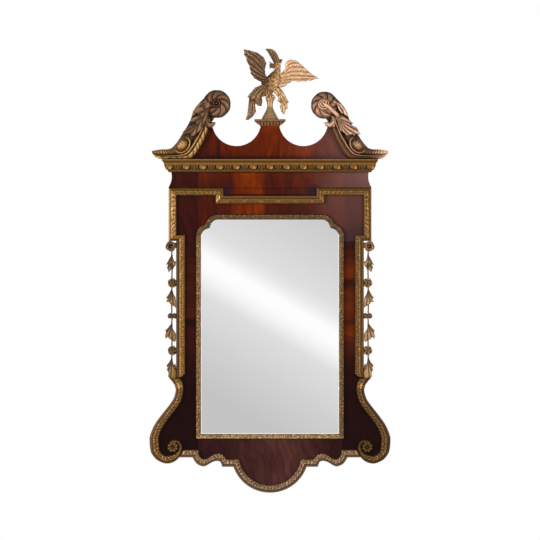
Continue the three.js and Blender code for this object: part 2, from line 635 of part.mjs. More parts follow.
function makePediment() {
  const start = THREE.MathUtils.radToDeg(Math.asin((NECK_TOP - SCOOP_CENTRE[1]) / SCOOP_R));
  const scoop = arc(SCOOP_CENTRE, SCOOP_R, 180 - start, 180 + 165, 20);
  // the board runs on behind the scrolled neck and the rosette, inside their outlines
  const eye = [ROSETTE_X, ROSETTE_Z];
  const behindNeck = shifted([[-130, 116], [-135, 134]], PEDIMENT_HALF, CORNICE_TOP);
  const behindRosette = arc(eye, ROSETTE_BACKING_R, -75, -350, 14);
  const shoulder = [[-83, 164], [-58, 102], [-34, 69], [-8, 40], [0, 22]];
  const half = [[scoop[0][0], NECK_TOP], ...scoop.slice(1), ...behindNeck, ...behindRosette,
    ...shifted(shoulder, PEDIMENT_HALF, CORNICE_TOP), [PEDIMENT_HALF, PEDIMENT_Z]];
  const outline = [...half, ...mirrored(half, -1).reverse()];
  const socketFoot = NECK_TOP - SOCKET_DEPTH;
  const socket = rod([0, FINIAL_Y, socketFoot], [0, FINIAL_Y, NECK_TOP + 1], PEG_R + FIT, 16);
  add('pediment_board', without(solid(plate(outline, BOARD_BACK, BOARD_T)), socket), mahogany);

  const neck = scoop[0][0];
  const capLow = NECK_TOP + FIT;
  const levels = [
    [0, 0.145], [0.18, 0.19], [0.3, 0.435], [0.55, 0.725], [0.72, 0.9], [0.8, 1], [1, 1],
  ].map(([t, share]) => [
    capLow + t * CAP_H, neck + share * CAP_OUT, BOARD_FRONT - share * CAP_OUT,
  ]);
  const hole = rod([0, FINIAL_Y, capLow - 1], [0, FINIAL_Y, CAP_TOP + 1], PEG_R + FIT, 16);
  add('plinth_cap', without(solid(tiered(levels, -FIT)), hole), gilt);
}

// The scrolled neck from its horn tip on the cornice up to the rosette: pairs of points
// on the upper and lower edges, measured out from the end of the pediment and up from the
// cornice.
const NECK_PAIRS = [
  [65, 28, 62, 18], [50, 31, 48, 5], [31, 33.5, 26, FIT], [13, 34, -4, FIT],
  [-2, 39, -36, FIT], [-20, 59, -64, FIT], [-38.5, 88, -84, 20], [-51, 108, -97, 42],
  [-60, 124, -108, 62], [-70, 148, -118.5, 88], [-78, 166, -124, 104], [-89, 183, -129, 118],
  [-103, 198, -137, 128], [-121, 214, -143, 140], [-135, 226, -146, 156],
];
const NECK_SECTION = [
  [0, 0], [0, 0.5], [0.12, 0.85], [0.32, 1], [0.58, 1], [0.72, 0.78], [0.86, 0.88], [1, 0.55], [1, 0],
].map(([u, h]) => [u, h * NECK_PROUD]);

const LEAF_OUTLINE = [
  [8, 2], [24, -6], [44, -20], [66, -31], [81, -43], [78, -52], [95, -66], [84, -75], [106, -88],
  [119, -103], [102, -106], [89, -104], [76, -108], [64, -97], [56, -78], [47, -56], [34, -38],
  [18, -20], [2, -6],
];

function makeScrolls() {
  const upper = shifted(NECK_PAIRS, PEDIMENT_HALF, CORNICE_TOP);
  const lower = shifted(NECK_PAIRS.map((pair) => pair.slice(2)), PEDIMENT_HALF, CORNICE_TOP);
  for (const [name, side] of SIDES) {
    const eye = [side * ROSETTE_X, ROSETTE_Z];
    const drum = (grow) => rod([eye[0], BOARD_FRONT, eye[1]],
      [eye[0], FACE - ROSETTE_PROUD - grow, eye[1]], ROSETTE_R + grow, 36);
    const neck = moulding(mirrored(upper, side), mirrored(lower, side), NECK_SECTION);
    add(`scroll_neck_${name}`, without(solid(neck), drum(FIT)), gilt);
    add(`rosette_${name}`, blossom(eye, ROSETTE_R, FACE, ROSETTE_PROUD, 7, 5), gilt);
    const seat = FACE - NECK_PROUD - FIT;
    const thick = ROSETTE_PROUD - NECK_PROUD + LEAF_T;
    const outline = mirrored(shifted(LEAF_OUTLINE, ROSETTE_X, ROSETTE_Z), side);
    const leaf = plate(outline, seat, thick, { round: 3 });
    add(`scroll_leaf_${name}`, without(solid(leaf), drum(FIT)), gilt);
  }
}

// ---------------------------------------------------------------- phoenix finial

// The bird's outlines are measured from the top of its pedestal.
// Sections of its body from the feet to the beak: [x, z, radius].
const BIRD = [
  [1, FIT, 7], [2, 11, 8], [4, 21, 14], [7, 33, 21], [9, 45, 24.5], [12, 58, 23], [18, 70, 17],
  [23.5, 81, 12], [25.5, 93, 10], [24.5, 106, 11], [20, 118, 11.5], [14, 131, 12], [6, 142, 11],
  [-2, 149, 8], [-10, 153.5, 4], [-16, 156, 1],
];
const WING_LEFT = [
  [-20, 45], [-50, 58], [-65, 75], [-71, 98], [-79, 121], [-87, 141], [-87, 155], [-66, 151],
  [-40, 143], [-21, 129], [-12, 109], [-17, 90], [-15, 71], [-4, 58], [-2, 49],
];
const WING_RIGHT = [
  [24, 63], [45, 85], [53, 92], [50, 105], [57, 117], [71, 121], [86, 118], [109, 100], [135, 75],
  [161, 59], [135, 51], [102, 50], [73, 51], [58, 42], [42, 30], [20, 37],
];
const TAIL = [
  [-2, 35], [-26, 39], [-50, 28], [-66, 9], [-75, -2], [-69, -6], [-72, -34], [-75, -61], [-81, -78],
  [-71, -78], [-58, -68], [-46, -51], [-49, -30], [-48, -24], [-38, -32], [-28, -33], [-25, -19],
  [-27, -4], [-20, 5], [-8, 13], [0, 21],
];
const PLUME = [
  [4, 35], [26, 29], [37, 24], [48, 7], [56, -10], [63, -20], [57, -30], [57, -42], [51, -48],
  [47, -61], [37, -51], [32, -34], [34, -25], [24, -15], [26, -2], [15, 10], [6, 19],
];

function birdBody(grow) {
  const circle = arc([0, 0], 1, 0, 360 - 30, 11);
  const rings = BIRD.map(([x, z, r], i) => {
    const [a, b] = [BIRD[Math.max(i - 1, 0)], BIRD[Math.min(i + 1, BIRD.length - 1)]];
    const along = i === 0 ? [0, 1] : unit(sub(b, a));
    return circle.map(([u, v]) => [
      x + u * (r + grow) * along[1], FINIAL_Y + v * (r + grow), PERCH_Z + z - u * (r + grow) * along[0],
    ]);
  });
  return skin(rings, circle);
}

function makeFinial() {
  const stem = [
    [PEDESTAL_R, 0], [PEDESTAL_R - 2, 5], [PEDESTAL_R * 0.72, 20], [PEDESTAL_R * 0.4, 38],
    [PEDESTAL_R * 0.31, 50], [PEDESTAL_R * 0.42, 62], [PEDESTAL_R * 0.5, 71], [PEDESTAL_R * 0.38, PEDESTAL_H],
  ];
  const pegFoot = FINIAL_Z - CAP_H - SOCKET_DEPTH + PEG_SHORT;
  const peg = rod([0, FINIAL_Y, pegFoot], [0, FINIAL_Y, FINIAL_Z + 2], PEG_R, 16);
  const pedestal = turned([[0, 0], ...stem, [0, PEDESTAL_H]], [0, FINIAL_Y, FINIAL_Z], 24);
  add('finial_pedestal', joined(pedestal, peg), gilt);
  add('phoenix_body', birdBody(0), gilt);
  const feathers = (outline, back) => without(
    solid(plate(shifted(outline, 0, PERCH_Z), back, WING_T, { round: 3 })), birdBody(FIT));
  const middle = FINIAL_Y + WING_T / 2;
  add('phoenix_wing_left', feathers(WING_LEFT, middle), gilt);
  add('phoenix_wing_right', feathers(WING_RIGHT, middle), gilt);
  add('phoenix_tail', feathers(TAIL, middle), gilt);
  add('phoenix_plume', feathers(PLUME, middle), gilt);
}

// ---------------------------------------------------------------- garlands

// Leaf outlines: [out from the stem, down from the stem top], for a garland of this length.
const GARLAND_L = 450;
const LEAF_IN = LEAF_CLEAR - BLOSSOM_R;
const LEAVES = [
  [[1, 0], [3, -15], [10, -27], [20, -45], [11, -43], [15, -53], [10, -69], [1, -58], [-6, -53],
    [-12, -47], [LEAF_IN, -33], [-8, -32], [-4, -22], [-1, 0]],
  [[1, 0], [4, -8], [11, -21], [19, -31], [16, -36], [19, -46], [9, -46], [2, -58], [-6, -58],
    [LEAF_IN, -65], [LEAF_IN, -48], [-12, -30], [-6, -21], [-3, -10], [-1, 0]],
  [[1, 0], [3, -12], [13, -25], [22, -33], [23, -51], [20, -61], [14, -54], [7, -62], [0, -65],
    [-10, -72], [LEAF_IN, -64], [LEAF_IN, -45], [-9, -37], [-4, -30], [-1, -18], [-1, 0]],
  [[1, 0], [2, -12], [9, -25], [18, -35], [17, -51], [13, -53], [11, -63], [13, -70], [2, -73],
    [-10, -73], [-13, -62], [LEAF_IN, -35], [-10, -29], [-6, -34], [-3, -22], [-1, 0]],
];
const LEAF_TOPS = [0.077, 0.347, 0.583]; // shares of the length; the last leaf ends the garland
const LEAF_ENDS = [69, 58, 62, 73];
const BLOSSOM_AT = [0.308, 0.552, 0.804];

function makeGarlands() {
  const stemX = UPRIGHT_HALF + FIT + BLOSSOM_R;
  const length = EAR_BOTTOM - HORN_TOP;
  const stretch = length / GARLAND_L;
  const back = BOARD_FRONT + GARLAND_T / 2;
  const wireY = back - GARLAND_T / 2;
  const z = (share) => EAR_BOTTOM - share * length;
  const budZ = EAR_BOTTOM - EAR_BUD_GAP - EAR_BUD_R;
  const budX = UPRIGHT_HALF + EAR_BUD_CLEAR + EAR_BUD_R;
  for (const [name, side] of SIDES) {
    for (let i = 0; i < LEAVES.length; i++) {
      const end = LEAF_ENDS[i] * stretch;
      const top = i < LEAF_TOPS.length ? z(LEAF_TOPS[i]) : HORN_TOP + EDGE + end;
      const head = i === 0 ? budZ : z(BLOSSOM_AT[i - 1]);
      const next = i < BLOSSOM_AT.length ? z(BLOSSOM_AT[i]) + BLOSSOM_R + FIT : top - end + 5;
      const outline = LEAVES[i].map(([x, down]) => [x, down * stretch]);
      const leaf = plate(mirrored(shifted(outline, stemX, top), side), back, GARLAND_T);
      const wire = rod([side * stemX, wireY, head], [side * stemX, wireY, next], WIRE_R, 8);
      const bud = i === 0
        ? blossom([side * budX, head], EAR_BUD_R, back, GARLAND_T, 3, 8)
        : blossom([side * stemX, head], BLOSSOM_R, back, GARLAND_T, 6);
      add(`garland_${name}_${i + 1}`, joined(leaf, wire, bud), gilt);
    }
  }
}

// ---------------------------------------------------------------- battens and hangers

function makeBattens() {
  const y = [-BATTEN_T, 0];
  const spread = (inset) => [inset - OPEN_HALF, OPEN_HALF - inset];
  add('cross_batten', block(spread(CROSS_IN), y, [-CROSS_W / 2, CROSS_W / 2]), pine);
  for (const [name, side] of SIDES) {
    const middle = side * (PEDIMENT_HALF - CREST_IN);
    add(`crest_batten_${name}`, block([middle - CREST_W / 2, middle + CREST_W / 2], y,
      [CROSS_W / 2 + FIT, CORNICE_TOP + CREST_RISE]), pine);
  }
  const top = REBATE_BOTTOM - BACKBOARD_LAP - APRON_BATTEN_DROP;
  add('apron_batten', block(spread(APRON_BATTEN_IN), y, [top - APRON_BATTEN_W, top]), pine);
}

// Each hanger is a brass strap folded round the straight bar of a D-shaped ring. The ring
// swings about that bar, and hangs down round the strap.
function makeHangers() {
  const back = BOARD_BACK + FIT;
  const bore = RING_WIRE_R + RUNNING_GAP;
  const barrelR = bore + STRAP_T;
  const axisY = back + barrelR;
  const plateY = [back, back + STRAP_T];
  for (const [name, side] of SIDES) {
    const cx = side * HANGER_X;
    const half = STRAP_W / 2;
    const leafPlate = block([cx - half, cx + half], plateY, [HANGER_Z - STRAP_L, HANGER_Z]);
    const barrel = rod([cx - half, axisY, HANGER_Z], [cx + half, axisY, HANGER_Z], barrelR, 16);
    const through = rod([cx - half - 1, axisY, HANGER_Z], [cx + half + 1, axisY, HANGER_Z], bore, 16);
    const hole = screwHole(side, SCREW_R + FIT, back - 1, back + STRAP_T + 1);
    add(`hanger_strap_${name}`, without(joined(leafPlate, barrel), through, hole), brass);

    const corner = (x, z) => new THREE.Vector3(cx + x, axisY, HANGER_Z + z);
    const bendZ = -(RING_DROP - RING_HALF);
    const round = arc([0, bendZ], RING_HALF, 0, -180, 12).map(([x, z]) => corner(x, z));
    const loop = [corner(0, 0), corner(RING_HALF - 1, 0), corner(RING_HALF, -1), ...round,
      corner(-RING_HALF, -1), corner(-RING_HALF + 1, 0)];
    add(`hanger_ring_${name}`, ringWire(loop, RING_WIRE_R), brass);

    const headBack = back + STRAP_T + FIT;
    const shank = screwHole(side, SCREW_R, headBack - SCREW_L, headBack + 0.5);
    const head = screwHole(side, SCREW_HEAD_R, headBack, headBack + SCREW_HEAD_H);
    const slot = block([cx - SCREW_HEAD_R - 1, cx + SCREW_HEAD_R + 1],
      [headBack + SCREW_HEAD_H - 0.8, headBack + SCREW_HEAD_H + 1],
      [HANGER_SCREW_Z - 0.5, HANGER_SCREW_Z + 0.5]);
    add(`hanger_screw_${name}`, without(joined(shank, head), slot), steel);
  }
}

// A closed loop of round wire through points that lie in one upright plane.
function ringWire(loop, radius) {
  const sides = 8;
  const count = loop.length;
  const normal = new THREE.Vector3(0, 1, 0);
  const points = [];
  const index = [];
  loop.forEach((p, i) => {
    const into = p.clone().sub(loop[(i + count - 1) % count]).normalize();
    const out = loop[(i + 1) % count].clone().sub(p).normalize();
    const along = into.clone().add(out).normalize();
    const across = new THREE.Vector3().crossVectors(along, normal);
    const stretch = 1 / Math.max(0.5, along.dot(out));
    for (let k = 0; k < sides; k++) {
      const a = (2 * Math.PI * k) / sides;
      const q = p.clone()
        .addScaledVector(across, radius * stretch * Math.cos(a))
        .addScaledVector(normal, radius * Math.sin(a));
      points.push(...q.toArray());
      const next = (i + 1) % count;
      const [s, t] = [i * sides + k, i * sides + ((k + 1) % sides)];
      const [u, v] = [next * sides + ((k + 1) % sides), next * sides + k];
      index.push(s, t, u, s, u, v);
    }
  });
  const geometry = new THREE.BufferGeometry();
  geometry.setAttribute('position', new THREE.Float32BufferAttribute(points, 3));
  geometry.setIndex(index);
  return outward(geometry);
}

makeGround();
makeGlass();
makeSightMoulding();
makeTopMouldings();
makeScrollMouldings();
makeApronMouldings();
makeFrieze();
makeCornice();
makePediment();
makeScrolls();
makeFinial();
makeGarlands();
makeBattens();
makeHangers();

export default assembly;
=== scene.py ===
# A Georgian-style wall mirror: figured mahogany, gilt carving and a phoenix finial.
# Lengths are in millimetres until a mesh is made. The front looks towards -Y.

import math

import bmesh
import bpy
import numpy as np
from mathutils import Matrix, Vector
from mathutils.geometry import delaunay_2d_cdt


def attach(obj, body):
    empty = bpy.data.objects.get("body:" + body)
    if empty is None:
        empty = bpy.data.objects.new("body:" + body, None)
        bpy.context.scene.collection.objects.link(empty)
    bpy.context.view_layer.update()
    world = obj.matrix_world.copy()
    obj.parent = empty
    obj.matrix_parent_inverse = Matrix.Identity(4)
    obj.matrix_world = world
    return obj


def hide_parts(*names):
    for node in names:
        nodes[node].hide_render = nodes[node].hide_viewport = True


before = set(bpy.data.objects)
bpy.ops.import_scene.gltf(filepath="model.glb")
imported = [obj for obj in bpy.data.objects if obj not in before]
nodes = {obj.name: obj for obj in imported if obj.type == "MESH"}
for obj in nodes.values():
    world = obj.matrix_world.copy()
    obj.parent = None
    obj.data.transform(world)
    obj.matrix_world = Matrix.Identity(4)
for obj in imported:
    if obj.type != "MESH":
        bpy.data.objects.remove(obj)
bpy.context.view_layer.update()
MM = 0.001

# ------------------------------------------------------------------ studio
# A plain white studio. The camera stands level with the middle of the mirror and far
# back, as for a catalogue picture. Two tall soft lights stand at the sides and a weak one
# above, and a grey flat with one soft band of light stands where only the glass shows it.


def paint(code):
    """A hex colour as the linear red, green, blue and alpha that a shader takes."""
    parts = [int(code[i : i + 2], 16) / 255 for i in (1, 3, 5)]
    return [c / 12.92 if c <= 0.04045 else ((c + 0.055) / 1.055) ** 2.4 for c in parts] + [1.0]


def add_node(tree, kind, links=None, stops=(), **settings):
    """Adds a shader node, with its settings, and a value or a socket for each input. A
    colour ramp also has its stops: pairs of a place and a hex colour."""
    made = tree.nodes.new("ShaderNode" + kind)
    for name, value in settings.items():
        setattr(made, name, value)
    for name, value in (links or {}).items():
        if isinstance(value, bpy.types.NodeSocket):
            tree.links.new(value, made.inputs[name])
        else:
            made.inputs[name].default_value = value
    if stops:
        while len(made.color_ramp.elements) < len(stops):
            made.color_ramp.elements.new(0.5)
        for element, (at, colour) in zip(made.color_ramp.elements, stops):
            element.position = at
            element.color = paint(colour)
    return made


VIEW_WIDTH = 1782
VIEW_CENTRE_Z = -231
CAMERA_BACK = 9000
FRONT_Y = -45  # the plane of the carving, where the view is VIEW_WIDTH wide
SENSOR = 36

camera = bpy.data.objects.new("camera", bpy.data.cameras.new("camera"))
camera.data.sensor_width = SENSOR
camera.data.lens = SENSOR * CAMERA_BACK / VIEW_WIDTH
camera.data.clip_end = 60
camera.location = (0, (FRONT_Y - CAMERA_BACK) * MM, VIEW_CENTRE_Z * MM)
camera.rotation_euler = (math.radians(90), 0, 0)
bpy.context.collection.objects.link(camera)
bpy.context.scene.camera = camera
bpy.context.scene.view_settings.view_transform = "Standard"

AMBIENT = 0.34
world = bpy.data.worlds.new("studio")
world.use_nodes = True
bpy.context.scene.world = world
tree = world.node_tree
tree.nodes.clear()
ray = add_node(tree, "LightPath")
seen = add_node(tree, "Math", {0: ray.outputs["Is Camera Ray"], 1: ray.outputs["Is Glossy Ray"]},
                operation="MAXIMUM")
seen = add_node(tree, "Math", {0: seen.outputs[0], 1: ray.outputs["Is Transmission Ray"]},
                operation="MAXIMUM")
level = add_node(tree, "MapRange", {"Value": seen.outputs[0], "To Min": AMBIENT, "To Max": 1.0})
sky = add_node(tree, "Background", {"Color": (1, 1, 1, 1), "Strength": level.outputs[0]})
add_node(tree, "OutputWorld", {"Surface": sky.outputs[0]})

# left, right and top lights: place, size and watts
for name, place, size, power in (
    ("left_light", (-2700, -1900, -100), (800, 2600), 128),
    ("right_light", (2700, -2300, -250), (800, 2400), 84),
    ("top_light", (-500, -3200, 1500), (1600, 900), 20),
):
    lamp = bpy.data.lights.new(name, "AREA")
    lamp.shape = "RECTANGLE"
    lamp.size, lamp.size_y = size[0] * MM, size[1] * MM
    lamp.energy = power
    light = bpy.data.objects.new(name, lamp)
    light.visible_glossy = name != "top_light"
    light.location = Vector(place) * MM
    aim = Vector((0, 0, VIEW_CENTRE_Z)) * MM - light.location
    light.rotation_euler = aim.to_track_quat("-Z", "Y").to_euler()
    bpy.context.collection.objects.link(light)


def bare(name):
    """A new material with an empty node tree."""
    material = bpy.data.materials.new(name)
    material.use_nodes = True
    material.node_tree.nodes.clear()
    return material, material.node_tree


def plane(name, corners, material):
    """A flat sheet of the studio through four corners."""
    mesh = bpy.data.meshes.new(name)
    mesh.from_pydata([Vector(c) * MM for c in corners], [], [(0, 1, 2, 3)])
    mesh.materials.append(material)
    sheet = bpy.data.objects.new(name, mesh)
    bpy.context.collection.objects.link(sheet)
    return sheet


# The floor ends behind the mirror, before it would come into the camera's view.
FLOOR_Z = -1250
FLOOR_X, FLOOR_FRONT, FLOOR_BACK = 2600, -2600, 1100
paper, tree = bare("white paper floor")
ray = add_node(tree, "LightPath")
seen = add_node(tree, "Math", {0: ray.outputs["Is Camera Ray"], 1: ray.outputs["Is Glossy Ray"]},
                operation="MAXIMUM")
share = add_node(tree, "Math", {0: seen.outputs[0], 1: 0.9}, operation="MULTIPLY")
matt = add_node(tree, "BsdfDiffuse", {"Color": paint("#f4f4f4")})
glow = add_node(tree, "Emission", {"Color": (1, 1, 1, 1), "Strength": 1.0})
both = add_node(tree, "MixShader", {0: share.outputs[0], 1: matt.outputs[0], 2: glow.outputs[0]})
add_node(tree, "OutputMaterial", {"Surface": both.outputs[0]})
plane("floor", [(-FLOOR_X, FLOOR_FRONT, FLOOR_Z), (FLOOR_X, FLOOR_FRONT, FLOOR_Z),
                (FLOOR_X, FLOOR_BACK, FLOOR_Z), (-FLOOR_X, FLOOR_BACK, FLOOR_Z)], paper)

# The flat that the glass reflects: pale grey, a little darker at its foot, with a soft
# white band that falls from the upper left to the right.
FLAT_Y, FLAT_X, FLAT_LOW, FLAT_HIGH = -4000, 350, -1035, 35
BAND_SLOPE = -0.593  # fall of the band for each metre to the right
BAND_Z = -0.393  # its height on the centre line, in metres
cloth, tree = bare("grey studio cloth")
axes = add_node(tree, "SeparateXYZ", {0: add_node(tree, "TexCoord").outputs["Object"]})
fall = add_node(tree, "Math", {0: axes.outputs["X"], 1: BAND_SLOPE, 2: BAND_Z}, operation="MULTIPLY_ADD")
off = add_node(tree, "Math", {0: axes.outputs["Z"], 1: fall.outputs[0]}, operation="SUBTRACT")
off = add_node(tree, "MapRange", {"Value": off.outputs[0], "From Min": -0.6, "From Max": 0.6})
GREYS = [(0.0, "#c5c5c5"), (0.18, "#d1d1d1"), (0.38, "#e0e0e0"), (0.45, "#f6f6f6"), (0.495, "#ffffff"),
         (0.54, "#ffffff"), (0.6, "#ebebeb"), (0.65, "#e0e0e0"), (0.8, "#d6d6d6"), (0.95, "#cdcdcd")]
grey = add_node(tree, "ValToRGB", {0: off.outputs[0]}, GREYS)
glow = add_node(tree, "Emission", {"Color": grey.outputs[0], "Strength": 1.0})
add_node(tree, "OutputMaterial", {"Surface": glow.outputs[0]})
card = plane("studio_flat", [(-FLAT_X, FLAT_Y, FLAT_LOW), (FLAT_X, FLAT_Y, FLAT_LOW),
                             (FLAT_X, FLAT_Y, FLAT_HIGH), (-FLAT_X, FLAT_Y, FLAT_HIGH)], cloth)
for kind in ("camera", "diffuse", "shadow", "transmission", "volume_scatter"):
    setattr(card, "visible_" + kind, False)

# ------------------------------------------------------------------ mahogany ground
# Stiles, rails, frieze and pediment board. Each is a softwood board faced with figured
# mahogany veneer, stained dark and finished with many coats of shellac. The flame
# figure stands in the middle of the crest, and the stiles and apron are nearly black.


def finish(name):
    """A new material, with its node tree and its main shader."""
    material = bpy.data.materials.new(name)
    material.use_nodes = True
    return material, material.node_tree, material.node_tree.nodes["Principled BSDF"]


def dress(material, *names):
    """Puts a material on solids that keep their own shape."""
    for name in names:
        nodes[name].data.materials.clear()
        nodes[name].data.materials.append(material)


def deal_colour(tree, place, grain_angle):
    """The colour of old bare softwood: growth lines about 5 mm apart, waved along it."""
    turned = add_node(tree, "Mapping", {"Vector": place, "Rotation": (0, math.radians(grain_angle), 0)})
    waved = add_node(tree, "Mapping", {"Vector": turned.outputs[0], "Scale": (30, 12, 2)})
    slow = add_node(tree, "TexNoise", {"Vector": waved.outputs[0], "Scale": 1.0, "Detail": 2.0})
    bent = add_node(tree, "Math", {0: slow.outputs[0], 1: 26.0}, operation="MULTIPLY")
    lines = add_node(tree, "TexWave", {"Vector": turned.outputs[0], "Scale": 32.0, "Distortion": 0.0,
                                       "Phase Offset": bent.outputs[0]}, bands_direction="X")
    tone = add_node(tree, "Math", {0: lines.outputs[1], 1: 0.55}, operation="MULTIPLY")
    tone = add_node(tree, "Math", {0: slow.outputs[0], 1: 0.6, 2: tone.outputs[0]}, operation="MULTIPLY_ADD")
    browns = [(0.2, "#b48a58"), (0.55, "#a27646"), (0.9, "#7c5430")]
    return add_node(tree, "ValToRGB", {0: tone.outputs[0]}, browns).outputs[0]


def veneer(name, grain_angle, tones, low_tones, colours, sheen, shade_patches=()):
    """French-polished mahogany veneer: leaves of different tone butted at upright seams,
    with figure and pores along the grain. `tones` run across the mirror, and `low_tones` up
    it, with painted shade in them on some boards. The sheen ramp paints a paler, greyer
    brown from left to right as a painted sheen, and the patches are painted shadows."""
    material, tree, shader = finish(name)
    place = add_node(tree, "TexCoord").outputs["Object"]
    turned = add_node(tree, "Mapping", {"Vector": place, "Rotation": (0, math.radians(grain_angle), 0)})
    # pores are 0.3 mm wide on the real veneer and drawn 2.5 mm wide here, so that they show
    pores = add_node(tree, "Mapping", {"Vector": turned.outputs[0], "Scale": (400, 1, 14)})
    fine = add_node(tree, "TexNoise", {"Vector": pores.outputs[0], "Scale": 1.0, "Detail": 5.0,
                                       "Roughness": 0.6})
    wide = add_node(tree, "Mapping", {"Vector": turned.outputs[0], "Scale": (34, 1, 9)})
    figure = add_node(tree, "TexNoise", {"Vector": wide.outputs[0], "Scale": 1.0, "Detail": 4.0,
                                         "Distortion": 1.4})
    patch = add_node(tree, "TexNoise", {"Vector": place, "Scale": 7.0, "Detail": 2.0})
    axes = add_node(tree, "SeparateXYZ", {0: place})
    across = add_node(tree, "MapRange", {"Value": axes.outputs["X"], "From Min": -0.4, "From Max": 0.4})
    leaf = add_node(tree, "ValToRGB", {0: across.outputs[0]}, tones)
    down = add_node(tree, "MapRange", {"Value": axes.outputs["Z"], "From Min": -1.0, "From Max": 0.4})
    level = add_node(tree, "ValToRGB", {0: down.outputs[0]}, low_tones)
    tone = add_node(tree, "Math", {0: leaf.outputs[0], 1: level.outputs[0]}, operation="MULTIPLY")
    cloud = add_node(tree, "Math", {0: patch.outputs[0], 1: 0.9, 2: 0.55}, operation="MULTIPLY_ADD")
    tone = add_node(tree, "Math", {0: tone.outputs[0], 1: cloud.outputs[0]}, operation="MULTIPLY")
    streak = add_node(tree, "Math", {0: figure.outputs[0], 1: 1.5, 2: 0.25}, operation="MULTIPLY_ADD")
    tone = add_node(tree, "Math", {0: tone.outputs[0], 1: streak.outputs[0]}, operation="MULTIPLY")
    line = add_node(tree, "Math", {0: fine.outputs[0], 1: 0.7, 2: 0.65}, operation="MULTIPLY_ADD")
    tone = add_node(tree, "Math", {0: tone.outputs[0], 1: line.outputs[0]}, operation="MULTIPLY")
    colour = add_node(tree, "ValToRGB", {0: tone.outputs[0]}, colours).outputs[0]
    # a painted sheen: the right of the upper boards is made a paler, greyer brown
    pale = add_node(tree, "ValToRGB", {0: across.outputs[0]}, sheen)
    pale = add_node(tree, "Math", {0: pale.outputs[0], 1: cloud.outputs[0]}, operation="MULTIPLY",
                    use_clamp=True)
    colour = add_node(tree, "Mix", {0: pale.outputs[0], 6: colour, 7: paint("#8a5f5a")},
                      data_type="RGBA").outputs[2]
    # painted shadows, nearly black, in some corners: a place, a half size and a strength
    for x, z, half_x, half_z, strength in shade_patches:
        spot = add_node(tree, "Mapping", {"Vector": place, "Scale": (1 / half_x, 0, 1 / half_z),
                                          "Location": (-x / half_x, 0, -z / half_z)})
        away = add_node(tree, "VectorMath", {0: spot.outputs[0]}, operation="LENGTH")
        dark = add_node(tree, "MapRange", {"Value": away.outputs["Value"], "From Min": 0.1, "To Min": strength,
                                           "To Max": 0.0}, interpolation_type="SMOOTHSTEP")
        colour = add_node(tree, "Mix", {0: dark.outputs[0], 6: colour, 7: paint("#1c131c")},
                          data_type="RGBA").outputs[2]
    # the backs of the boards are the bare softwood that the veneer is laid on
    facing = add_node(tree, "SeparateXYZ", {0: add_node(tree, "TexCoord").outputs["Normal"]})
    behind = add_node(tree, "Math", {0: facing.outputs["Y"], 1: 0.7}, operation="GREATER_THAN")
    colour = add_node(tree, "Mix", {0: behind.outputs[0], 6: colour, 7: deal_colour(tree, place, 3)},
                      data_type="RGBA").outputs[2]
    tree.links.new(colour, shader.inputs["Base Color"])
    bump = add_node(tree, "Bump", {"Height": fine.outputs[0], "Strength": 0.04, "Distance": 0.0004})
    tree.links.new(bump.outputs[0], shader.inputs["Normal"])
    shader.inputs["Roughness"].default_value = 0.26
    shader.inputs["Specular IOR Level"].default_value = 0.03
    shader.inputs["Coat Weight"].default_value = 0.03
    shader.inputs["Coat Roughness"].default_value = 0.06
    return material


# tone across the mirror, from its left edge to its right: dark leaves outside, seams at
# -237, 185 and 241 mm, and the flame a little left of the middle
CREST_TONES = [(0.0, "#484848"), (0.2, "#4c4c4c"), (0.207, "#626262"), (0.33, "#646464"),
               (0.37, "#808080"), (0.46, "#828282"), (0.485, "#5a5a5a"), (0.58, "#565656"),
               (0.725, "#5e5e5e"), (0.735, "#565656"), (0.8, "#5c5c5c"), (0.806, "#4c4c4c"),
               (1.0, "#4a4a4a")]
FRIEZE_TONES = [(0.0, "#565656"), (0.2, "#5a5a5a"), (0.207, "#777777"), (0.33, "#777777"),
                (0.37, "#9c9c9c"), (0.46, "#9f9f9f"), (0.485, "#777777"), (0.58, "#727272"),
                (0.725, "#797979"), (0.735, "#6c6c6c"), (0.8, "#6a6a6a"), (0.806, "#585858"),
                (1.0, "#565656")]
PEDIMENT_TONES = [(0.0, "#505050"), (0.27, "#646464"), (0.288, "#484848"), (0.3, "#686868"),
                  (0.42, "#727272"), (0.5, "#8a8a8a"), (0.58, "#808080"), (0.7, "#747474"), (0.8, "#606060")]
# painted shadow: dark lines just over the centre bar and just over the cornice
CREST_SHADE_LEVELS = [(0.7225, "#ffffff"), (0.7237, "#505050"), (0.726, "#808080"), (0.73, "#ffffff"),
                (0.79, "#ffffff"), (0.8, "#909090"), (0.812, "#b0b0b0"), (0.82, "#ffffff")]
# the frieze is a little darker towards the bottom, and a painted shadow lies in a line just under the cornice
FRIEZE_LEVELS = [(0.744, "#e0e0e0"), (0.762, "#e0e0e0"), (0.772, "#e8e8e8"), (0.778, "#f0f0f0"),
                 (0.7795, "#606060")]
LEFT_LEVELS = [(0.0, "#787878"), (0.26, "#808080"), (0.36, "#b4b4b4"), (0.412, "#dcdcdc"),
               (0.42, "#989898"), (0.43, "#989898"), (0.437, "#f4f4f4"), (0.5, "#f0f0f0"),
               (0.54, "#d0d0d0"), (0.64, "#b0b0b0")]
RIGHT_LEVELS = [(0.0, "#646464"), (0.27, "#6c6c6c"), (0.34, "#989898"), (0.395, "#e4e4e4"),
                (0.415, "#e8e8e8"), (0.427, "#a4a4a4"), (0.436, "#e0e0e0"), (0.47, "#ffffff"),
                (0.5, "#e0e0e0"), (0.514, "#a8a8a8"), (0.525, "#b0b0b0"), (0.534, "#ffffff"),
                (0.55, "#f8f8f8"), (0.58, "#c4c4c4"), (0.64, "#9c9c9c")]
FLAT_TONE = [(0.0, "#ffffff"), (1.0, "#ffffff")]
APRON_TONES = [(0.0, "#404040"), (0.3, "#4c4c4c"), (0.48, "#6c6c6c"), (0.6, "#727272"), (0.75, "#484848"),
               (1.0, "#3c3c3c")]
LEFT_TONE = [(0.0, "#585858"), (1.0, "#585858")]
RIGHT_TONE = [(0.0, "#757575"), (1.0, "#757575")]
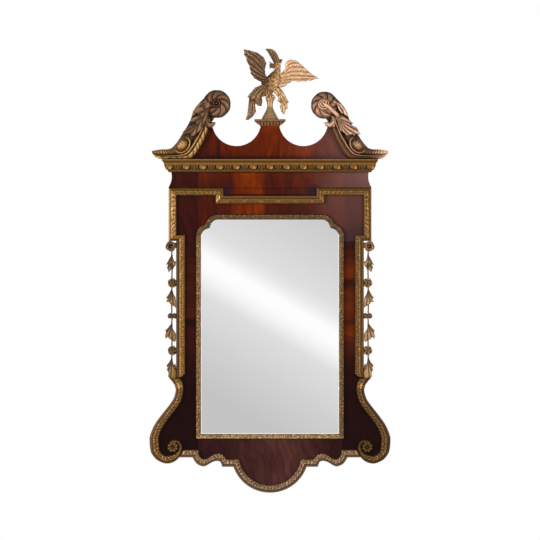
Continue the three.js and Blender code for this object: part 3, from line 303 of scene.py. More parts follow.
MAHOGANY = [(0.0, "#120406"), (0.05, "#200909"), (0.12, "#381108"), (0.22, "#561c04"), (0.34, "#742f02"),
            (0.52, "#8a4004")]
STILE_BROWNS = [(0.0, "#0e0304"), (0.03, "#190706"), (0.08, "#2f0f07"), (0.16, "#4c1b06"), (0.3, "#6c2904")]
APRON_BROWNS = [(0.0, "#120608"), (0.06, "#200c0c"), (0.15, "#3a1e1b"), (0.3, "#58322a")]
# painted sheen on the right of the upper boards, by share across the mirror; none on the stiles and apron
SHEEN = [(0.54, "#000000"), (0.66, "#4c4c4c"), (0.75, "#8c8c8c"), (0.86, "#a8a8a8"), (0.95, "#b8b8b8")]
FRIEZE_SHEEN = [(0.54, "#000000"), (0.66, "#343434"), (0.75, "#7a7a7a"), (0.86, "#a0a0a0"), (0.95, "#b8b8b8")]
CREST_SHEEN = [(0.54, "#000000"), (0.66, "#343434"), (0.75, "#6c6c6c"), (0.86, "#7a7a7a"), (0.95, "#7a7a7a")]
NO_SHEEN = [(0.0, "#000000"), (1.0, "#000000")]
# painted shadows in the corners over the ends of the centre bar, and in the inner corner at the foot of the
# right ear
BAR_CORNERS = ((-0.146, 0.026, 0.02, 0.034, 0.85), (0.146, 0.028, 0.04, 0.036, 0.85))
EAR_FOOT = ((0.295, -0.115, 0.1, 0.065, 0.5),)
for node, where, *look in (
    ("top_rail", "crest", 7, CREST_TONES, CREST_SHADE_LEVELS, MAHOGANY, CREST_SHEEN, BAR_CORNERS + EAR_FOOT),
    ("frieze", "frieze", 7, FRIEZE_TONES, FRIEZE_LEVELS, MAHOGANY, FRIEZE_SHEEN, BAR_CORNERS),
    ("pediment_board", "pediment", 5, PEDIMENT_TONES, CREST_SHADE_LEVELS, MAHOGANY, SHEEN),
    ("stile_left", "left stile", 84, LEFT_TONE, LEFT_LEVELS, STILE_BROWNS, NO_SHEEN),
    ("stile_right", "right stile", 84, RIGHT_TONE, RIGHT_LEVELS, STILE_BROWNS, NO_SHEEN, EAR_FOOT),
    ("bottom_rail", "apron", 10, APRON_TONES, FLAT_TONE, APRON_BROWNS, NO_SHEEN),
):
    dress(veneer(f"mahogany veneer on the {where}, polished", *look), node)

# ------------------------------------------------------------------ looking glass
# One sheet of silvered plate, 4 mm thick, in the rebate of the boards. A narrow bevel
# shows as a bright line along its left, right and lower edges.

silvering, tree, shader = finish("silvered plate glass")
shader.inputs["Base Color"].default_value = paint("#fdfdfd")
shader.inputs["Metallic"].default_value = 1.0
shader.inputs["Roughness"].default_value = 0.015
place = add_node(tree, "TexCoord").outputs["Object"]
# old plate is never quite flat: waves about 120 mm long, far too slight to blur the view
wave = add_node(tree, "TexNoise", {"Vector": place, "Scale": 8.0, "Detail": 1.0})
bump = add_node(tree, "Bump", {"Height": wave.outputs[0], "Strength": 0.02, "Distance": 0.001})
BEVEL_X, BEVEL_Z, BEVEL_FALL = 0.2264, -0.7711, 0.4  # where it starts, in metres, and its slope
axes = add_node(tree, "SeparateXYZ", {0: place})
aside = add_node(tree, "Math", {0: axes.outputs["X"]}, operation="ABSOLUTE")
aside = add_node(tree, "Math", {0: aside.outputs[0], 1: BEVEL_X}, operation="SUBTRACT")
below = add_node(tree, "Math", {0: BEVEL_Z, 1: axes.outputs["Z"]}, operation="SUBTRACT")
past = add_node(tree, "Math", {0: aside.outputs[0], 1: below.outputs[0]}, operation="MAXIMUM")
past = add_node(tree, "Math", {0: past.outputs[0], 1: 0.0}, operation="MAXIMUM")
ground = add_node(tree, "Bump", {"Height": past.outputs[0], "Distance": BEVEL_FALL, "Normal": bump.outputs[0]})
tree.links.new(ground.outputs[0], shader.inputs["Normal"])
dress(silvering, "mirror_glass")

# ------------------------------------------------------------------ moulding round the glass
# A narrow carved and gilt slip that holds the glass: leaf-cut along its crown, with a
# plain slope down to the glass. Its upper corners are two round lobes that meet in a cusp.

FACE = -37.6


def gilding(name, recess, body, crest, bole, bole_share, gloss=0.4):
    """Old water gilding: leaf over red-brown bole, rubbed through on the high places and
    darkened in the cuts by dirt and by painted shade; the high places carry painted
    highlights. The value on the mesh says how high a place stands, with painted light
    and shade added to it."""
    material, tree, shader = finish(name)
    place = add_node(tree, "TexCoord").outputs["Object"]
    wear_and_light = add_node(tree, "Attribute", attribute_name="wear_and_light").outputs["Fac"]
    patch = add_node(tree, "TexNoise", {"Vector": place, "Scale": 30.0, "Detail": 3.0, "Roughness": 0.6})
    grit = add_node(tree, "TexNoise", {"Vector": place, "Scale": 210.0, "Detail": 3.0, "Roughness": 0.65})
    mixed = add_node(tree, "Math", {0: grit.outputs[0], 1: 0.44, 2: -0.22}, operation="MULTIPLY_ADD")
    high = add_node(tree, "Math", {0: wear_and_light, 1: mixed.outputs[0]}, operation="ADD")
    leaf = add_node(tree, "ValToRGB", {0: high.outputs[0]}, [(0.08, recess), (0.5, body), (0.95, crest)])
    worn = add_node(tree, "MapRange", {"Value": patch.outputs[0], "From Min": 0.5, "From Max": 0.66,
                                       "To Min": 0.0, "To Max": bole_share})
    worn = add_node(tree, "Math", {0: worn.outputs[0], 1: high.outputs[0]}, operation="MULTIPLY",
                    use_clamp=True)
    gold = add_node(tree, "Mix", {0: worn.outputs[0], 6: leaf.outputs[0], 7: paint(bole)}, data_type="RGBA")
    tree.links.new(gold.outputs[2], shader.inputs["Base Color"])
    dull = add_node(tree, "MapRange", {"Value": high.outputs[0], "To Min": gloss + 0.22,
                                       "To Max": gloss - 0.08})
    tree.links.new(dull.outputs[0], shader.inputs["Roughness"])
    bump = add_node(tree, "Bump", {"Height": grit.outputs[0], "Strength": 0.3, "Distance": 0.0008})
    tree.links.new(bump.outputs[0], shader.inputs["Normal"])
    shader.inputs["Metallic"].default_value = 0.4
    shader.inputs["Specular IOR Level"].default_value = 0.25
    return material


moulding_gilt = gilding("water gilding on the mouldings", "#38230d", "#6f4d18", "#cf9f66", "#835536", 0.3)


def make(name, carving, material, stands_for=None, body="frame"):
    """A gilt piece of the mirror, from its points in millimetres, its faces, and its wear
    and painted light. It rides on a body, and may stand for a plain solid."""
    points, faces, wear_and_light = carving
    mesh = bpy.data.meshes.new(name)
    mesh.from_pydata((np.asarray(points, float) * MM).tolist(), [], [tuple(map(int, f)) for f in faces])
    mesh.attributes.new("wear_and_light", "FLOAT", "POINT").data.foreach_set("value", np.asarray(wear_and_light, np.float32))
    tidy = bmesh.new()
    tidy.from_mesh(mesh)
    bmesh.ops.remove_doubles(tidy, verts=tidy.verts, dist=1e-6)
    bmesh.ops.recalc_face_normals(tidy, faces=tidy.faces)
    tidy.to_mesh(mesh)
    tidy.free()
    mesh.polygons.foreach_set("use_smooth", [True] * len(mesh.polygons))
    mesh.materials.append(material)
    piece = bpy.data.objects.new(name, mesh)
    bpy.context.collection.objects.link(piece)
    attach(piece, body)
    if stands_for:
        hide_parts(stands_for)


def hump(value, at, width):
    """A smooth hump of height 1 about a place."""
    return np.exp(-(((value - at) / width) ** 2))


def between(value, start, stop):
    """How far a value is on the way from start to stop, held within 0 and 1."""
    return np.clip((value - start) / (stop - start), 0, 1)


def wrapped(rows, count):
    """Four-sided faces between rows of points that each run round a closed line."""
    return [(i * count + j, i * count + (j + 1) % count, (i + 1) * count + (j + 1) % count, (i + 1) * count + j)
            for i in range(rows - 1) for j in range(count)]


def capped(rows, count):
    """The same, with one face over the first row and one over the last."""
    return wrapped(rows, count) + [range(count), range((rows - 1) * count, rows * count)]


def unit(vectors):
    """Vectors made one long."""
    vectors = np.asarray(vectors, float)
    return vectors / np.linalg.norm(vectors, axis=-1, keepdims=True)


def arc(centre, radius, start, stop, steps):
    """Points on a circle, from one angle to another in degrees."""
    turn = np.radians(np.linspace(start, stop, steps + 1))
    return np.column_stack([centre[0] + radius * np.cos(turn), centre[1] + radius * np.sin(turn)])


def beside(line, distance):
    """The line at a distance to the left of a line, mitred at its corners."""
    line = np.asarray(line, float)
    runs = unit(np.diff(line, axis=0))
    before = np.vstack([runs[:1], runs])
    after = np.vstack([runs, runs[-1:]])
    across = unit(np.column_stack([-(before[:, 1] + after[:, 1]), before[:, 0] + after[:, 0]]))
    reach = np.broadcast_to(distance, len(line)) / (before[:, 0] * across[:, 1] - before[:, 1] * across[:, 0])
    return line + across * reach[:, None]


LAY_STEP = 1.6


def lay(outer, inner, section):
    """A moulding laid between two lines on the front: points, faces, and wear and painted
    light. The section gives heights and the same wear and light from the run along it in
    mm and the share of the way across."""
    outer, inner = np.asarray(outer, float), np.asarray(inner, float)
    a, b = [outer[:1]], [inner[:1]]
    for i in range(len(outer) - 1):
        span = max(np.linalg.norm(outer[i + 1] - outer[i]), np.linalg.norm(inner[i + 1] - inner[i]))
        t = np.linspace(0, 1, max(1, math.ceil(span / LAY_STEP)) + 1)[1:, None]
        a.append(outer[i] + (outer[i + 1] - outer[i]) * t)
        b.append(inner[i] + (inner[i + 1] - inner[i]) * t)
    a, b = np.vstack(a), np.vstack(b)
    middle = (a + b) / 2
    run = np.concatenate([[0], np.cumsum(np.linalg.norm(np.diff(middle, axis=0), axis=1))])
    share = np.array(section.across)
    rows, count = len(run), len(share)
    height, wear_and_light = section(*np.meshgrid(run, share, indexing="ij"), run[-1])
    flat = a[:, None, :] + (b - a)[:, None, :] * share[None, :, None]
    points = np.stack([flat[..., 0], FACE - height, flat[..., 1]], axis=-1).reshape(-1, 3)
    return points, capped(rows, count), wear_and_light.ravel()


def profile_at(knots, share):
    """Height of a moulding's plain profile at shares of the way across."""
    places, heights = zip(*knots)
    return np.interp(share, places, heights)


def trimmed(line, gap=0.15):
    """A line with both ends pulled back by a hair, for a butted joint."""
    line = np.array(line, float)
    line[0] += unit(line[1] - line[0]) * gap
    line[-1] += unit(line[-2] - line[-1]) * gap
    return line


def flipped(line, side):
    """A line for one side of the mirror, from the line for the right-hand side."""
    return np.asarray(line, float) * (side, 1)


SIDES = (("left", -1), ("right", 1))
SIGHT_HALF, SIGHT_TOP, SIGHT_BOTTOM = 227.5, -64, -772
SLIP_W = 17  # its edge laps 2 mm over the sight of the glass
CUSP_R, CUSP_STEP = 43, 29.5
SLIP_KNOTS = ((0, 0), (0.02, 4.2), (0.14, 7.6), (0.3, 7.2), (0.52, 7.4), (0.76, 6.0), (1, 1.7))


def punched(run, across, spacing, seed):
    """Small hand-struck pits, scattered at a spacing in mm: 1 in a pit, 0 outside."""
    u, v = run / spacing, across / spacing
    deepest = np.zeros(np.broadcast(u, v).shape)
    for i in (-1, 0, 1):
        for j in (-1, 0, 1):
            cell_u, cell_v = np.floor(u) + i, np.floor(v) + j
            chance = np.sin(cell_u * 127.1 + cell_v * 311.7 + seed * 74.7) * 43758.5453 % 1
            shift = np.sin(cell_u * 269.5 + cell_v * 183.3 + seed * 31.1) * 24634.6345 % 1
            away = np.hypot(u - cell_u - 0.25 - 0.5 * chance, v - cell_v - 0.25 - 0.5 * shift)
            deepest = np.maximum(deepest, hump(away, 0, 0.3) * (chance > 0.3))
    return deepest


def slip_section(run, share, length):
    """Leaf-cut along the crown: slanted cuts every 11 mm, and a beaded edge to the glass."""
    pitch = length / max(1, round(length / 11))
    crown = hump(share, 0.36, 0.22)
    cut = np.abs(np.sin(np.pi * (run / pitch + 1.1 * share))) ** 0.7
    bead = hump(share, 0.8, 0.1) * np.abs(np.sin(np.pi * run / (pitch * 0.62)))
    pits = punched(run, share * SLIP_W, 5.0, 3) * (share > 0.12)
    glints = punched(run, share * SLIP_W, 7.0, 9) ** 3 * (share > 0.1)
    height = profile_at(SLIP_KNOTS, share) + 1.6 * crown * (cut - 0.5) + 1.0 * bead - 1.4 * pits
    wear_and_light = 0.38 + 0.22 * crown * cut + 0.25 * bead - 0.42 * pits + 0.6 * glints - 0.25 * (share < 0.1)
    return np.where(share <= 0, 0, height), np.clip(wear_and_light, 0, 1)


slip_section.across = (0, 0.02, 0.08, 0.14, 0.2, 0.26, 0.32, 0.38, 0.44, 0.5, 0.56, 0.62, 0.68, 0.74, 0.8,
                       0.86, 0.93, 1)
slip_out = SIGHT_HALF + SLIP_W
lobe = (slip_out - CUSP_R, SIGHT_TOP + SLIP_W - CUSP_R - CUSP_STEP)
reach = math.sqrt(CUSP_R**2 - CUSP_STEP**2 / 2) / math.sqrt(2)
cusp = math.degrees(math.atan2(reach + CUSP_STEP / 2, reach - CUSP_STEP / 2))
corner = np.vstack([arc(lobe, CUSP_R, 0, cusp, 14),
                    arc((lobe[0] - CUSP_STEP, lobe[1] + CUSP_STEP), CUSP_R, 90 - cusp, 90, 14)[1:]])
head_out = np.vstack([corner, flipped(corner, -1)[::-1]])
head_in = beside(head_out, SLIP_W)
head_in[0], head_in[-1] = (SIGHT_HALF, lobe[1]), (-SIGHT_HALF, lobe[1])
foot = SIGHT_BOTTOM - SLIP_W
# each length: its outer and inner lines, and its painted light and shade: the top length darker, the bottom and
# left ones lighter than the right
slips = [("top", head_out, head_in, -0.14), ("bottom", [(-slip_out, foot),
                                                        (slip_out, foot)], [(-SIGHT_HALF, SIGHT_BOTTOM),
                                                                            (SIGHT_HALF, SIGHT_BOTTOM)],
                                             0.14)]
for name, side in SIDES:
    outer = flipped([(slip_out, foot), (slip_out, lobe[1])], side)
    inner = flipped([(SIGHT_HALF, SIGHT_BOTTOM), (SIGHT_HALF, lobe[1])], side)
    slips.append((name, outer, inner, 0.02 if side < 0 else -0.1))
slip_gilt = gilding("water gilding on the slip", "#2c1b0a", "#5e4420", "#cda87c", "#6c4630", 0.25)
for name, outer, inner, brighter_by in slips:
    points, faces, wear_and_light = lay(trimmed(outer), trimmed(inner), slip_section)
    make("carved_slip_" + name, (points, faces, wear_and_light + brighter_by), slip_gilt, "sight_moulding_" + name)

# ------------------------------------------------------------------ outer mouldings
# Carved and gilt lengths planted round the edge of the boards: a plain bevel outside, a
# raised fillet, and a band of carved leafage that falls to the inner edge.

BAND, SIDE_BAND, PROUD = 26, 30, 13
EAR_HALF, EAR_TOP, EAR_BOTTOM, SHOULDER = 335, 40.7, -135, 20
UPRIGHT_HALF, HORN_TOP, HORN_BEVEL = 310, -585, 11
BAR_HALF, BAR_TOP = 154, 13
BAND_KNOTS = ((0, 0), (0.015, 2.5), (0.2, 8.2), (0.26, 8.4), (0.3, 7.4), (0.36, 10.4), (0.42, 12.4),
              (0.48, 12.6), (0.54, 10.8), (0.6, 10.4), (0.72, 10.2), (0.82, 9.4), (0.9, 8), (0.96, 5.4),
              (1, 0))
BAND_ACROSS = (0, 0.015, 0.1, 0.2, 0.24, 0.27, 0.3, 0.33, 0.37, 0.41, 0.45, 0.49, 0.53, 0.57, 0.61, 0.65,
               0.69, 0.73, 0.77, 0.8, 0.83, 0.86, 0.89, 0.92, 0.96, 1)


def band_section(pitch, depth, lean, pits=4.6, hanging=False, start=0.52, rim=0.0, lip=0.0):
    """A section with leaves of one pitch, cut to one depth, whose ribs lean along it. The
    rim is painted light or painted shade on the outer bevel, by its sign, and the lip is a
    painted highlight along its outer edge."""

    def section(run, share, length):
        each = length / max(1, round(length / pitch))
        field = between(share, start, 0.93)
        within = np.sin(np.pi * field) ** 0.6
        local = (run / each + lean * (field - 0.5)) % 1
        leaf = np.abs(np.sin(np.pi * local)) ** 0.7
        rib = hump(local, 0.5, 0.09)
        struck = punched(run, share * BAND, pits, pitch) * (share > start) * (share < 0.95)
        glint = punched(run, share * BAND, pits * 1.6, pitch + 5) ** 3 * (share > start - 0.1) * (share < 0.97)
        carved = within * ((leaf - 0.6) * depth + 0.8 * rib - 1.5 * struck)
        if hanging:  # leaf points that hang from the fillet and end at the inner edge
            centre = np.abs((run / each) % 1 - 0.5) * each
            arch = hump(centre, 9 * field, 2)
            carved = within * (2.2 * arch - 0.5 * struck)
            leaf = 0.3 + 0.5 * arch
            glint, struck = glint * 0.4, struck * 0.4
        ridge = hump(share, 0.45, 0.06)
        height = profile_at(BAND_KNOTS, share) + carved
        height = np.where((share <= 0) | (share >= 1), 0, np.clip(height, 0, PROUD))
        wear_and_light = 0.38 + 0.2 * ridge + within * (0.3 * leaf - 0.12 + 0.14 * rib - 0.5 * struck) + 0.5 * glint
        wear_and_light = wear_and_light - 0.16 * hump(share, 0.27, 0.07) + rim * (share < 0.33) - 0.16 * (share > 0.95)
        wear_and_light = wear_and_light + lip * hump(share, 0.05, 0.09)
        return height, np.clip(wear_and_light, 0, 1)

    section.across = BAND_ACROSS
    return section


# the lips of the ears and bar are painted highlights; the left upright's outer bevel is in painted shade, the
# right's a little lighter
ear_carving = band_section(15, 2.2, 0.7, start=0.34, lip=0.2)
bar_carving = band_section(55, 2.6, 0.0, 6.0, hanging=True, start=0.5, lip=0.42)
upright_carving = {"left": band_section(9, 2.2, 0.5, rim=-0.24), "right": band_section(9, 2.2, 0.5, rim=0.08)}
scroll_carving = band_section(13, 2.6, 0.9, 5.0, start=0.4)

centre_out = [(-BAR_HALF, BAR_TOP), (BAR_HALF, BAR_TOP)]
centre_in = [(-BAR_HALF - BAND, BAR_TOP - BAND), (BAR_HALF + BAND, BAR_TOP - BAND)]
points, faces, wear_and_light = lay(trimmed(centre_out), trimmed(centre_in), bar_carving)
make("centre_bar", (points, faces, wear_and_light - 0.06), moulding_gilt, "top_moulding_centre")

edge = [(-BAR_HALF, BAR_TOP), (BAR_HALF, BAR_TOP), (BAR_HALF, EAR_TOP), (EAR_HALF, EAR_TOP),
        (EAR_HALF, EAR_BOTTOM), (UPRIGHT_HALF, EAR_BOTTOM), (UPRIGHT_HALF, HORN_TOP + HORN_BEVEL),
        (UPRIGHT_HALF, HORN_TOP)]
inner_edge = beside(edge, -BAND)
inner_edge[4] = (EAR_HALF - BAND, EAR_BOTTOM + SHOULDER)
inner_edge[5] = (UPRIGHT_HALF - SIDE_BAND, EAR_BOTTOM + SHOULDER)
inner_edge[6] = (UPRIGHT_HALF - SIDE_BAND, HORN_TOP + HORN_BEVEL)
inner_edge[7] = (UPRIGHT_HALF - SIDE_BAND * 0.6, HORN_TOP)
for name, side in SIDES:
    for piece, first, last, section in (("ear", 1, 5, ear_carving), ("upright", 4, 8, upright_carving[name])):
        points, faces, wear_and_light = lay(trimmed(flipped(edge[first:last], side)),
                                 trimmed(flipped(inner_edge[first:last], side)), section)
        node = {"ear": "top_moulding_", "upright": "side_moulding_"}[piece] + name
        # painted light and shade: the level runs of the ears are darker, as in shade, and the right side darker
        # than the left
        if piece == "ear":
            level = points[:, 2] > EAR_TOP - BAND * np.clip((EAR_HALF - np.abs(points[:, 0])) / BAND, 0, 1)
            wear_and_light = np.where(level, wear_and_light * 0.72 + 0.02, wear_and_light + (0.14 if side < 0 else -0.06))
        else:
            wear_and_light = wear_and_light - (0.02 if side < 0 else 0.17)
        make(f"{piece}_moulding_{name}", (points, faces, wear_and_light), moulding_gilt, node)

# ------------------------------------------------------------------ lower scrolls
# The same carved length bent round the swell of the stile. It tapers into a volute, and
# a small eight-petalled flower is carved in the eye.


def smooth(points, steps):
    """A smooth line through given points."""
    points = np.asarray(points, float)
    last = len(points) - 1
    line = []
    for place in np.linspace(0, last, steps + 1):
        i = min(int(place), last - 1)
        t = place - i
        a, b, c, d = points[max(i - 1, 0)], points[i], points[i + 1], points[min(i + 2, last)]
        cubic = (2 * a - 5 * b + 4 * c - d) * t**2 + (3 * b - a - 3 * c + d) * t**3
        line.append(0.5 * (2 * b + (c - a) * t + cubic))
    return np.array(line)


def full_turn(count):
    """Angles evenly spaced round a circle."""
    return np.linspace(0, 2 * np.pi, count, endpoint=False)


def blossom(centre, radius, base, height, petals, outline=0.16, swirl=0.0, eye=0.26, rings=16, each=9):
    """A carved flower: points, faces, and wear and painted light. The petals rise from a
    ring about the eye, roll over and fall to the edge; swirl turns them into curled lobes."""
    count = petals * each
    share = np.linspace(0, 1, rings + 1)[1:, None]
    turn = full_turn(count)[None, :]
    petal = np.abs(np.sin(petals * (turn + swirl * share) / 2))
    edge = 1 - outline * (1 - petal**0.7) * share**2
    heart = hump(share, 0, eye * 0.62)
    ring = hump(share, eye, 0.07)
    body = np.sin(np.pi * between(share, eye * 0.8, 1.12)) ** 0.6
    lift = 0.42 + 0.4 * body * (0.35 + 0.65 * petal**0.6) + 0.34 * heart - 0.3 * ring
    lift = lift * np.where(share > 0.96, 0.72, 1.0)
    wear_and_light = np.clip(0.06 + 0.72 * body * petal**1.2 + 0.6 * heart - 0.5 * ring, 0, 1)
    x = centre[0] + radius * share * edge * np.cos(turn)
    z = centre[1] + radius * share * edge * np.sin(turn)
    y = base - height * np.clip(lift, 0.05, 1.0)
    points = np.stack([x, y, z], -1).reshape(-1, 3)
    rim = np.stack([x[-1], np.full(count, base), z[-1]], -1)
    top = [[centre[0], base - height * 0.8, centre[1]]]
    bottom = [[centre[0], base, centre[1]]]
    points = np.vstack([points, rim, top, bottom])
    faces = wrapped(rings + 1, count)
    first, last = (rings + 1) * count, (rings + 1) * count + 1
    faces += [(first, j, (j + 1) % count) for j in range(count)]
    faces += [(last, rings * count + (j + 1) % count, rings * count + j) for j in range(count)]
    return points, faces, np.concatenate([wear_and_light.ravel(), np.full(count, 0.1), [0.8, 0.1]])


def joined(*parts):
    """Several sets of points, faces, and wear and painted light as one."""
    points, faces, wear_and_light_arrays, start = [], [], [], 0
    for part, its_faces, its_wear_and_light in parts:
        points.append(np.asarray(part, float))
        faces += [tuple(start + int(i) for i in face) for face in its_faces]
        wear_and_light_arrays.append(np.broadcast_to(its_wear_and_light, len(part)))
        start += len(part)
    return np.vstack(points), faces, np.concatenate(wear_and_light_arrays)


BULGE_HALF, SCROLL_BOTTOM = 398, -870
SCROLL_NECK = np.array([311, -627])
SCROLL_SHARES = ((0, 0), (0.115, 0.136), (0.547, 0.34), (0.811, 0.475), (0.973, 0.611), (1, 0.691),
                 (0.968, 0.815), (0.89, 0.883), (0.72, 0.951), (0.45, 0.997), (0.22, 0.997),
                 (0.014, 0.966), (-0.14, 0.916))
VOLUTE_SHARES = ((-0.14, 0.916), (-0.225, 0.856), (-0.245, 0.785), (-0.19, 0.718), (-0.046, 0.68),
                 (0.114, 0.68), (0.25, 0.71))
scroll_size = np.array([BULGE_HALF, SCROLL_BOTTOM]) - SCROLL_NECK
volute_eye = SCROLL_NECK + scroll_size * (0.115, 0.775)
scroll_line = smooth(SCROLL_NECK + scroll_size * SCROLL_SHARES, 66)
volute_line = smooth(SCROLL_NECK + scroll_size * VOLUTE_SHARES, 36)
coil = np.vstack([scroll_line, volute_line[1:]])
taper_from = len(scroll_line) / len(coil) * 0.86
taper = BAND * (1 - 0.66 * between(np.linspace(0, 1, len(coil)), taper_from, taper_from + 0.22))
taper = taper + 5.5 * hump(np.arange(len(coil)) / len(scroll_line), 0.43, 0.2)  # wider at the swell
scroll_out = np.vstack([SCROLL_NECK + ((23.5, 40), (14, 30), (4, 16)), coil])
scroll_in = np.vstack([SCROLL_NECK + ((10 - BAND, 37), (2.6 - BAND, 25), (-BAND, 12)), beside(coil, -taper)])
for name, side in SIDES:
    band = lay(flipped(scroll_out, side), flipped(scroll_in, side), scroll_carving)
    flower = blossom(volute_eye * (side, 1), 18, FACE + 0.4, 12.8, 8)
    flower = (flower[0], flower[1], 0.14 + 0.5 * flower[2])
    points, faces, wear_and_light = joined(band, flower)
    # a painted highlight on the crown of the neck, and the rest darker than the uprights, the right scroll more
    # than the left
    crown = np.hypot(np.abs(points[:, 0]) - 302, points[:, 2] + 612)
    wear_and_light = wear_and_light - (0.13 if side < 0 else 0.23) + 0.4 * hump(crown, 0, 9)
    make("scroll_moulding_carved_" + name, (points, faces, wear_and_light), moulding_gilt, "scroll_moulding_" + name)

# ------------------------------------------------------------------ apron mouldings
# Short carved lengths that step and wave along the shaped foot, mitred into the round
# drop in the middle. Their inner band is leaf-cut and greyed with age.

APRON_TOP, APRON_STEP, APRON_R, APRON_CENTRE = -850, 31, 128.5, -838
APRON_SHARES = ((1, 0, 4.5), (0.799, 0, 20), (0.722, 0.645, 11), (0.606, 0.952, 3), (0.527, 0.871, 5.5),
                (0.414, 0.516, 3), (0.317, 0.371, 3), (0.252, 0.484, 8), (0.216, 1, 15))


def drop_arc(radius, start_z):
    """The round drop, from the level stretch on one side of it to that on the other."""
    angle = math.degrees(math.asin((start_z - APRON_CENTRE) / radius))
    return arc((0, APRON_CENTRE), radius, angle, -180 - angle, 64)


def curved(line):
    """The waved stretch of the apron made smooth, with its square ends kept."""
    return np.vstack([line[:1], smooth(line[1:8], 36), line[8:]])


drop_out = drop_arc(APRON_R, APRON_TOP - APRON_STEP)
drop_in = drop_arc(APRON_R - BAND, APRON_TOP - APRON_STEP + BAND)
volute_x = SCROLL_NECK[0] - 0.241 * scroll_size[0]
shares = np.array(APRON_SHARES)
apron_out = np.column_stack([drop_out[0][0] + (volute_x - drop_out[0][0]) * shares[:, 0],
                             APRON_TOP - APRON_STEP * shares[:, 1]])
apron_in = apron_out + np.column_stack([-shares[:, 2], np.full(len(shares), BAND)])
apron_out[0, 0] += 8  # the outer corner runs on to meet the volute
apron_out = curved(np.vstack([apron_out, drop_out[:1]]))
apron_in = curved(np.vstack([apron_in, drop_in[:1]]))
apron_carving = band_section(12, 2.6, 0.9, 5.4, start=0.36, rim=0.06)
apron_gilt = gilding("water gilding, greyed, on the apron", "#30211a", "#64492c", "#b89a7a", "#64504a", 0.5)
for name, side in SIDES:
    length = lay(trimmed(flipped(apron_out, side)), trimmed(flipped(apron_in, side)), apron_carving)
    make("apron_moulding_carved_" + name, length, apron_gilt, "apron_moulding_" + name)
drop = lay(trimmed(drop_out), trimmed(drop_in), apron_carving)
make("apron_drop_carved", drop, apron_gilt, "apron_moulding_centre")

# ------------------------------------------------------------------ cornice
# A gilt cornice in three mitred lengths: a fillet and a plain cyma over a band of
# egg-and-dart, with a small fillet below. The eggs stand 55 mm apart.

PEDIMENT_HALF, CORNICE_LOW, CORNICE_TOP, CORNICE_OUT = 326, 92, 134, 30
EGG_PITCH = 55.4
CORNICE_KNOTS = ((0, 0), (0.05, 0), (0.3, 0.02), (0.36, 0.12), (0.38, 0.17), (0.46, 0.24), (0.54, 0.33),
                 (0.6, 0.42), (0.66, 0.5), (0.74, 0.55), (0.77, 0.6), (0.79, 0.68), (0.84, 0.76),
                 (0.93, 0.82), (0.96, 0.86), (0.96, 0.88), (1, 0.9), (1, 1), (0, 1))


def fine_line(points, step):
    """A line with points added so that none is further than a step from the next."""
    points = np.asarray(points, float)
    out = [points[:1]]
    for a, b in zip(points[:-1], points[1:]):
        count = max(1, math.ceil(np.linalg.norm(b - a) / step))
        out.append(a + (b - a) * (np.arange(1, count + 1) / count)[:, None])
    return np.vstack(out)


cornice_high = CORNICE_TOP - CORNICE_LOW
cornice_line = fine_line([(u * CORNICE_OUT, CORNICE_LOW + v * cornice_high) for u, v in CORNICE_KNOTS], 2.2)
tangent = np.gradient(cornice_line, axis=0)
cornice_normal = unit(np.column_stack([tangent[:, 1], -tangent[:, 0]]))


def egg_and_dart(along, height_share):
    """How far the ornament stands from the plain section, and its wear and painted light."""
    across = (height_share - 0.13) / 0.42
    field = np.clip(np.sin(np.pi * np.clip(across, 0, 1)), 0, 1) * (height_share < 0.6)
    local = (along / EGG_PITCH + 0.5) % 1 * EGG_PITCH - EGG_PITCH / 2
    reach = np.hypot(local / 12.0, (across - 0.55) / 0.5)
    egg = np.sqrt(np.clip(1 - reach**2, 0, 1))
    scoop = hump(reach, 1.22, 0.16) * field * between(np.abs(local), 5, 9)
    from_dart = EGG_PITCH / 2 - np.abs(local)
    slash = hump(from_dart, 1.5 + 7 * (1 - across), 1.3) * field
    lift = 3.4 * egg - 4.4 * scoop - 1.6 * slash
    # a painted highlight on the right of each egg
    spot = hump(local, 4.5, 4) * hump(across, 0.5, 0.28) * field
    wear_and_light = 0.42 + 0.06 * egg + 0.4 * spot - 0.9 * scoop - 0.6 * slash
    return lift, wear_and_light


def cornice_length(start, stop, start_lean, stop_lean, along_0, along_1):
    """A length of cornice between two ends; an end leans outwards at a mitre."""
    start, stop = np.array(start, float), np.array(stop, float)
    rows = math.ceil(abs(along_1 - along_0) / 1.5)
    t = np.linspace(0, 1, rows + 1)[:, None]
    along = along_0 + (along_1 - along_0) * t
    share = (cornice_line[:, 1] - CORNICE_LOW)[None, :] / cornice_high
    on_front = ((cornice_line[:, 0] > 0.3 * CORNICE_OUT) & (cornice_line[:, 1] < CORNICE_TOP - 1))[None, :]
    lean = np.array(start_lean) + (np.array(stop_lean) - start_lean) * t
    axis = 0 if start[1] == stop[1] else 1
    if axis == 0:
        along = along + cornice_line[None, :, 0] * lean[:, :1]
    lift, wear_and_light = egg_and_dart(along, share * np.ones_like(along))
    lift = np.where(on_front, lift, 0)
    shade = hump(share, 0.82, 0.06) + 1.6 * hump(share, 0.23, 0.05)
    shade = shade + 0.9 * (share < 0.16) + 0.5 * (share > 0.72)
    gleam = 0.3 * hump(share, 0.96, 0.04) + 0.1 * (np.abs(share - 0.66) < 0.06)
    wear_and_light = np.clip(wear_and_light + gleam - 0.14 * shade, 0, 1)
    out = cornice_line[None, :, 0] + cornice_normal[None, :, 0] * lift
    up = cornice_line[None, :, 1] + cornice_normal[None, :, 1] * lift
    foot = start + (stop - start) * t
    x = foot[:, :1] + out * lean[:, :1]
    y = foot[:, 1:] + out * lean[:, 1:]
    points = np.stack([x, y, up], -1).reshape(-1, 3)
    return points, capped(rows + 1, len(cornice_line)), wear_and_light.ravel()


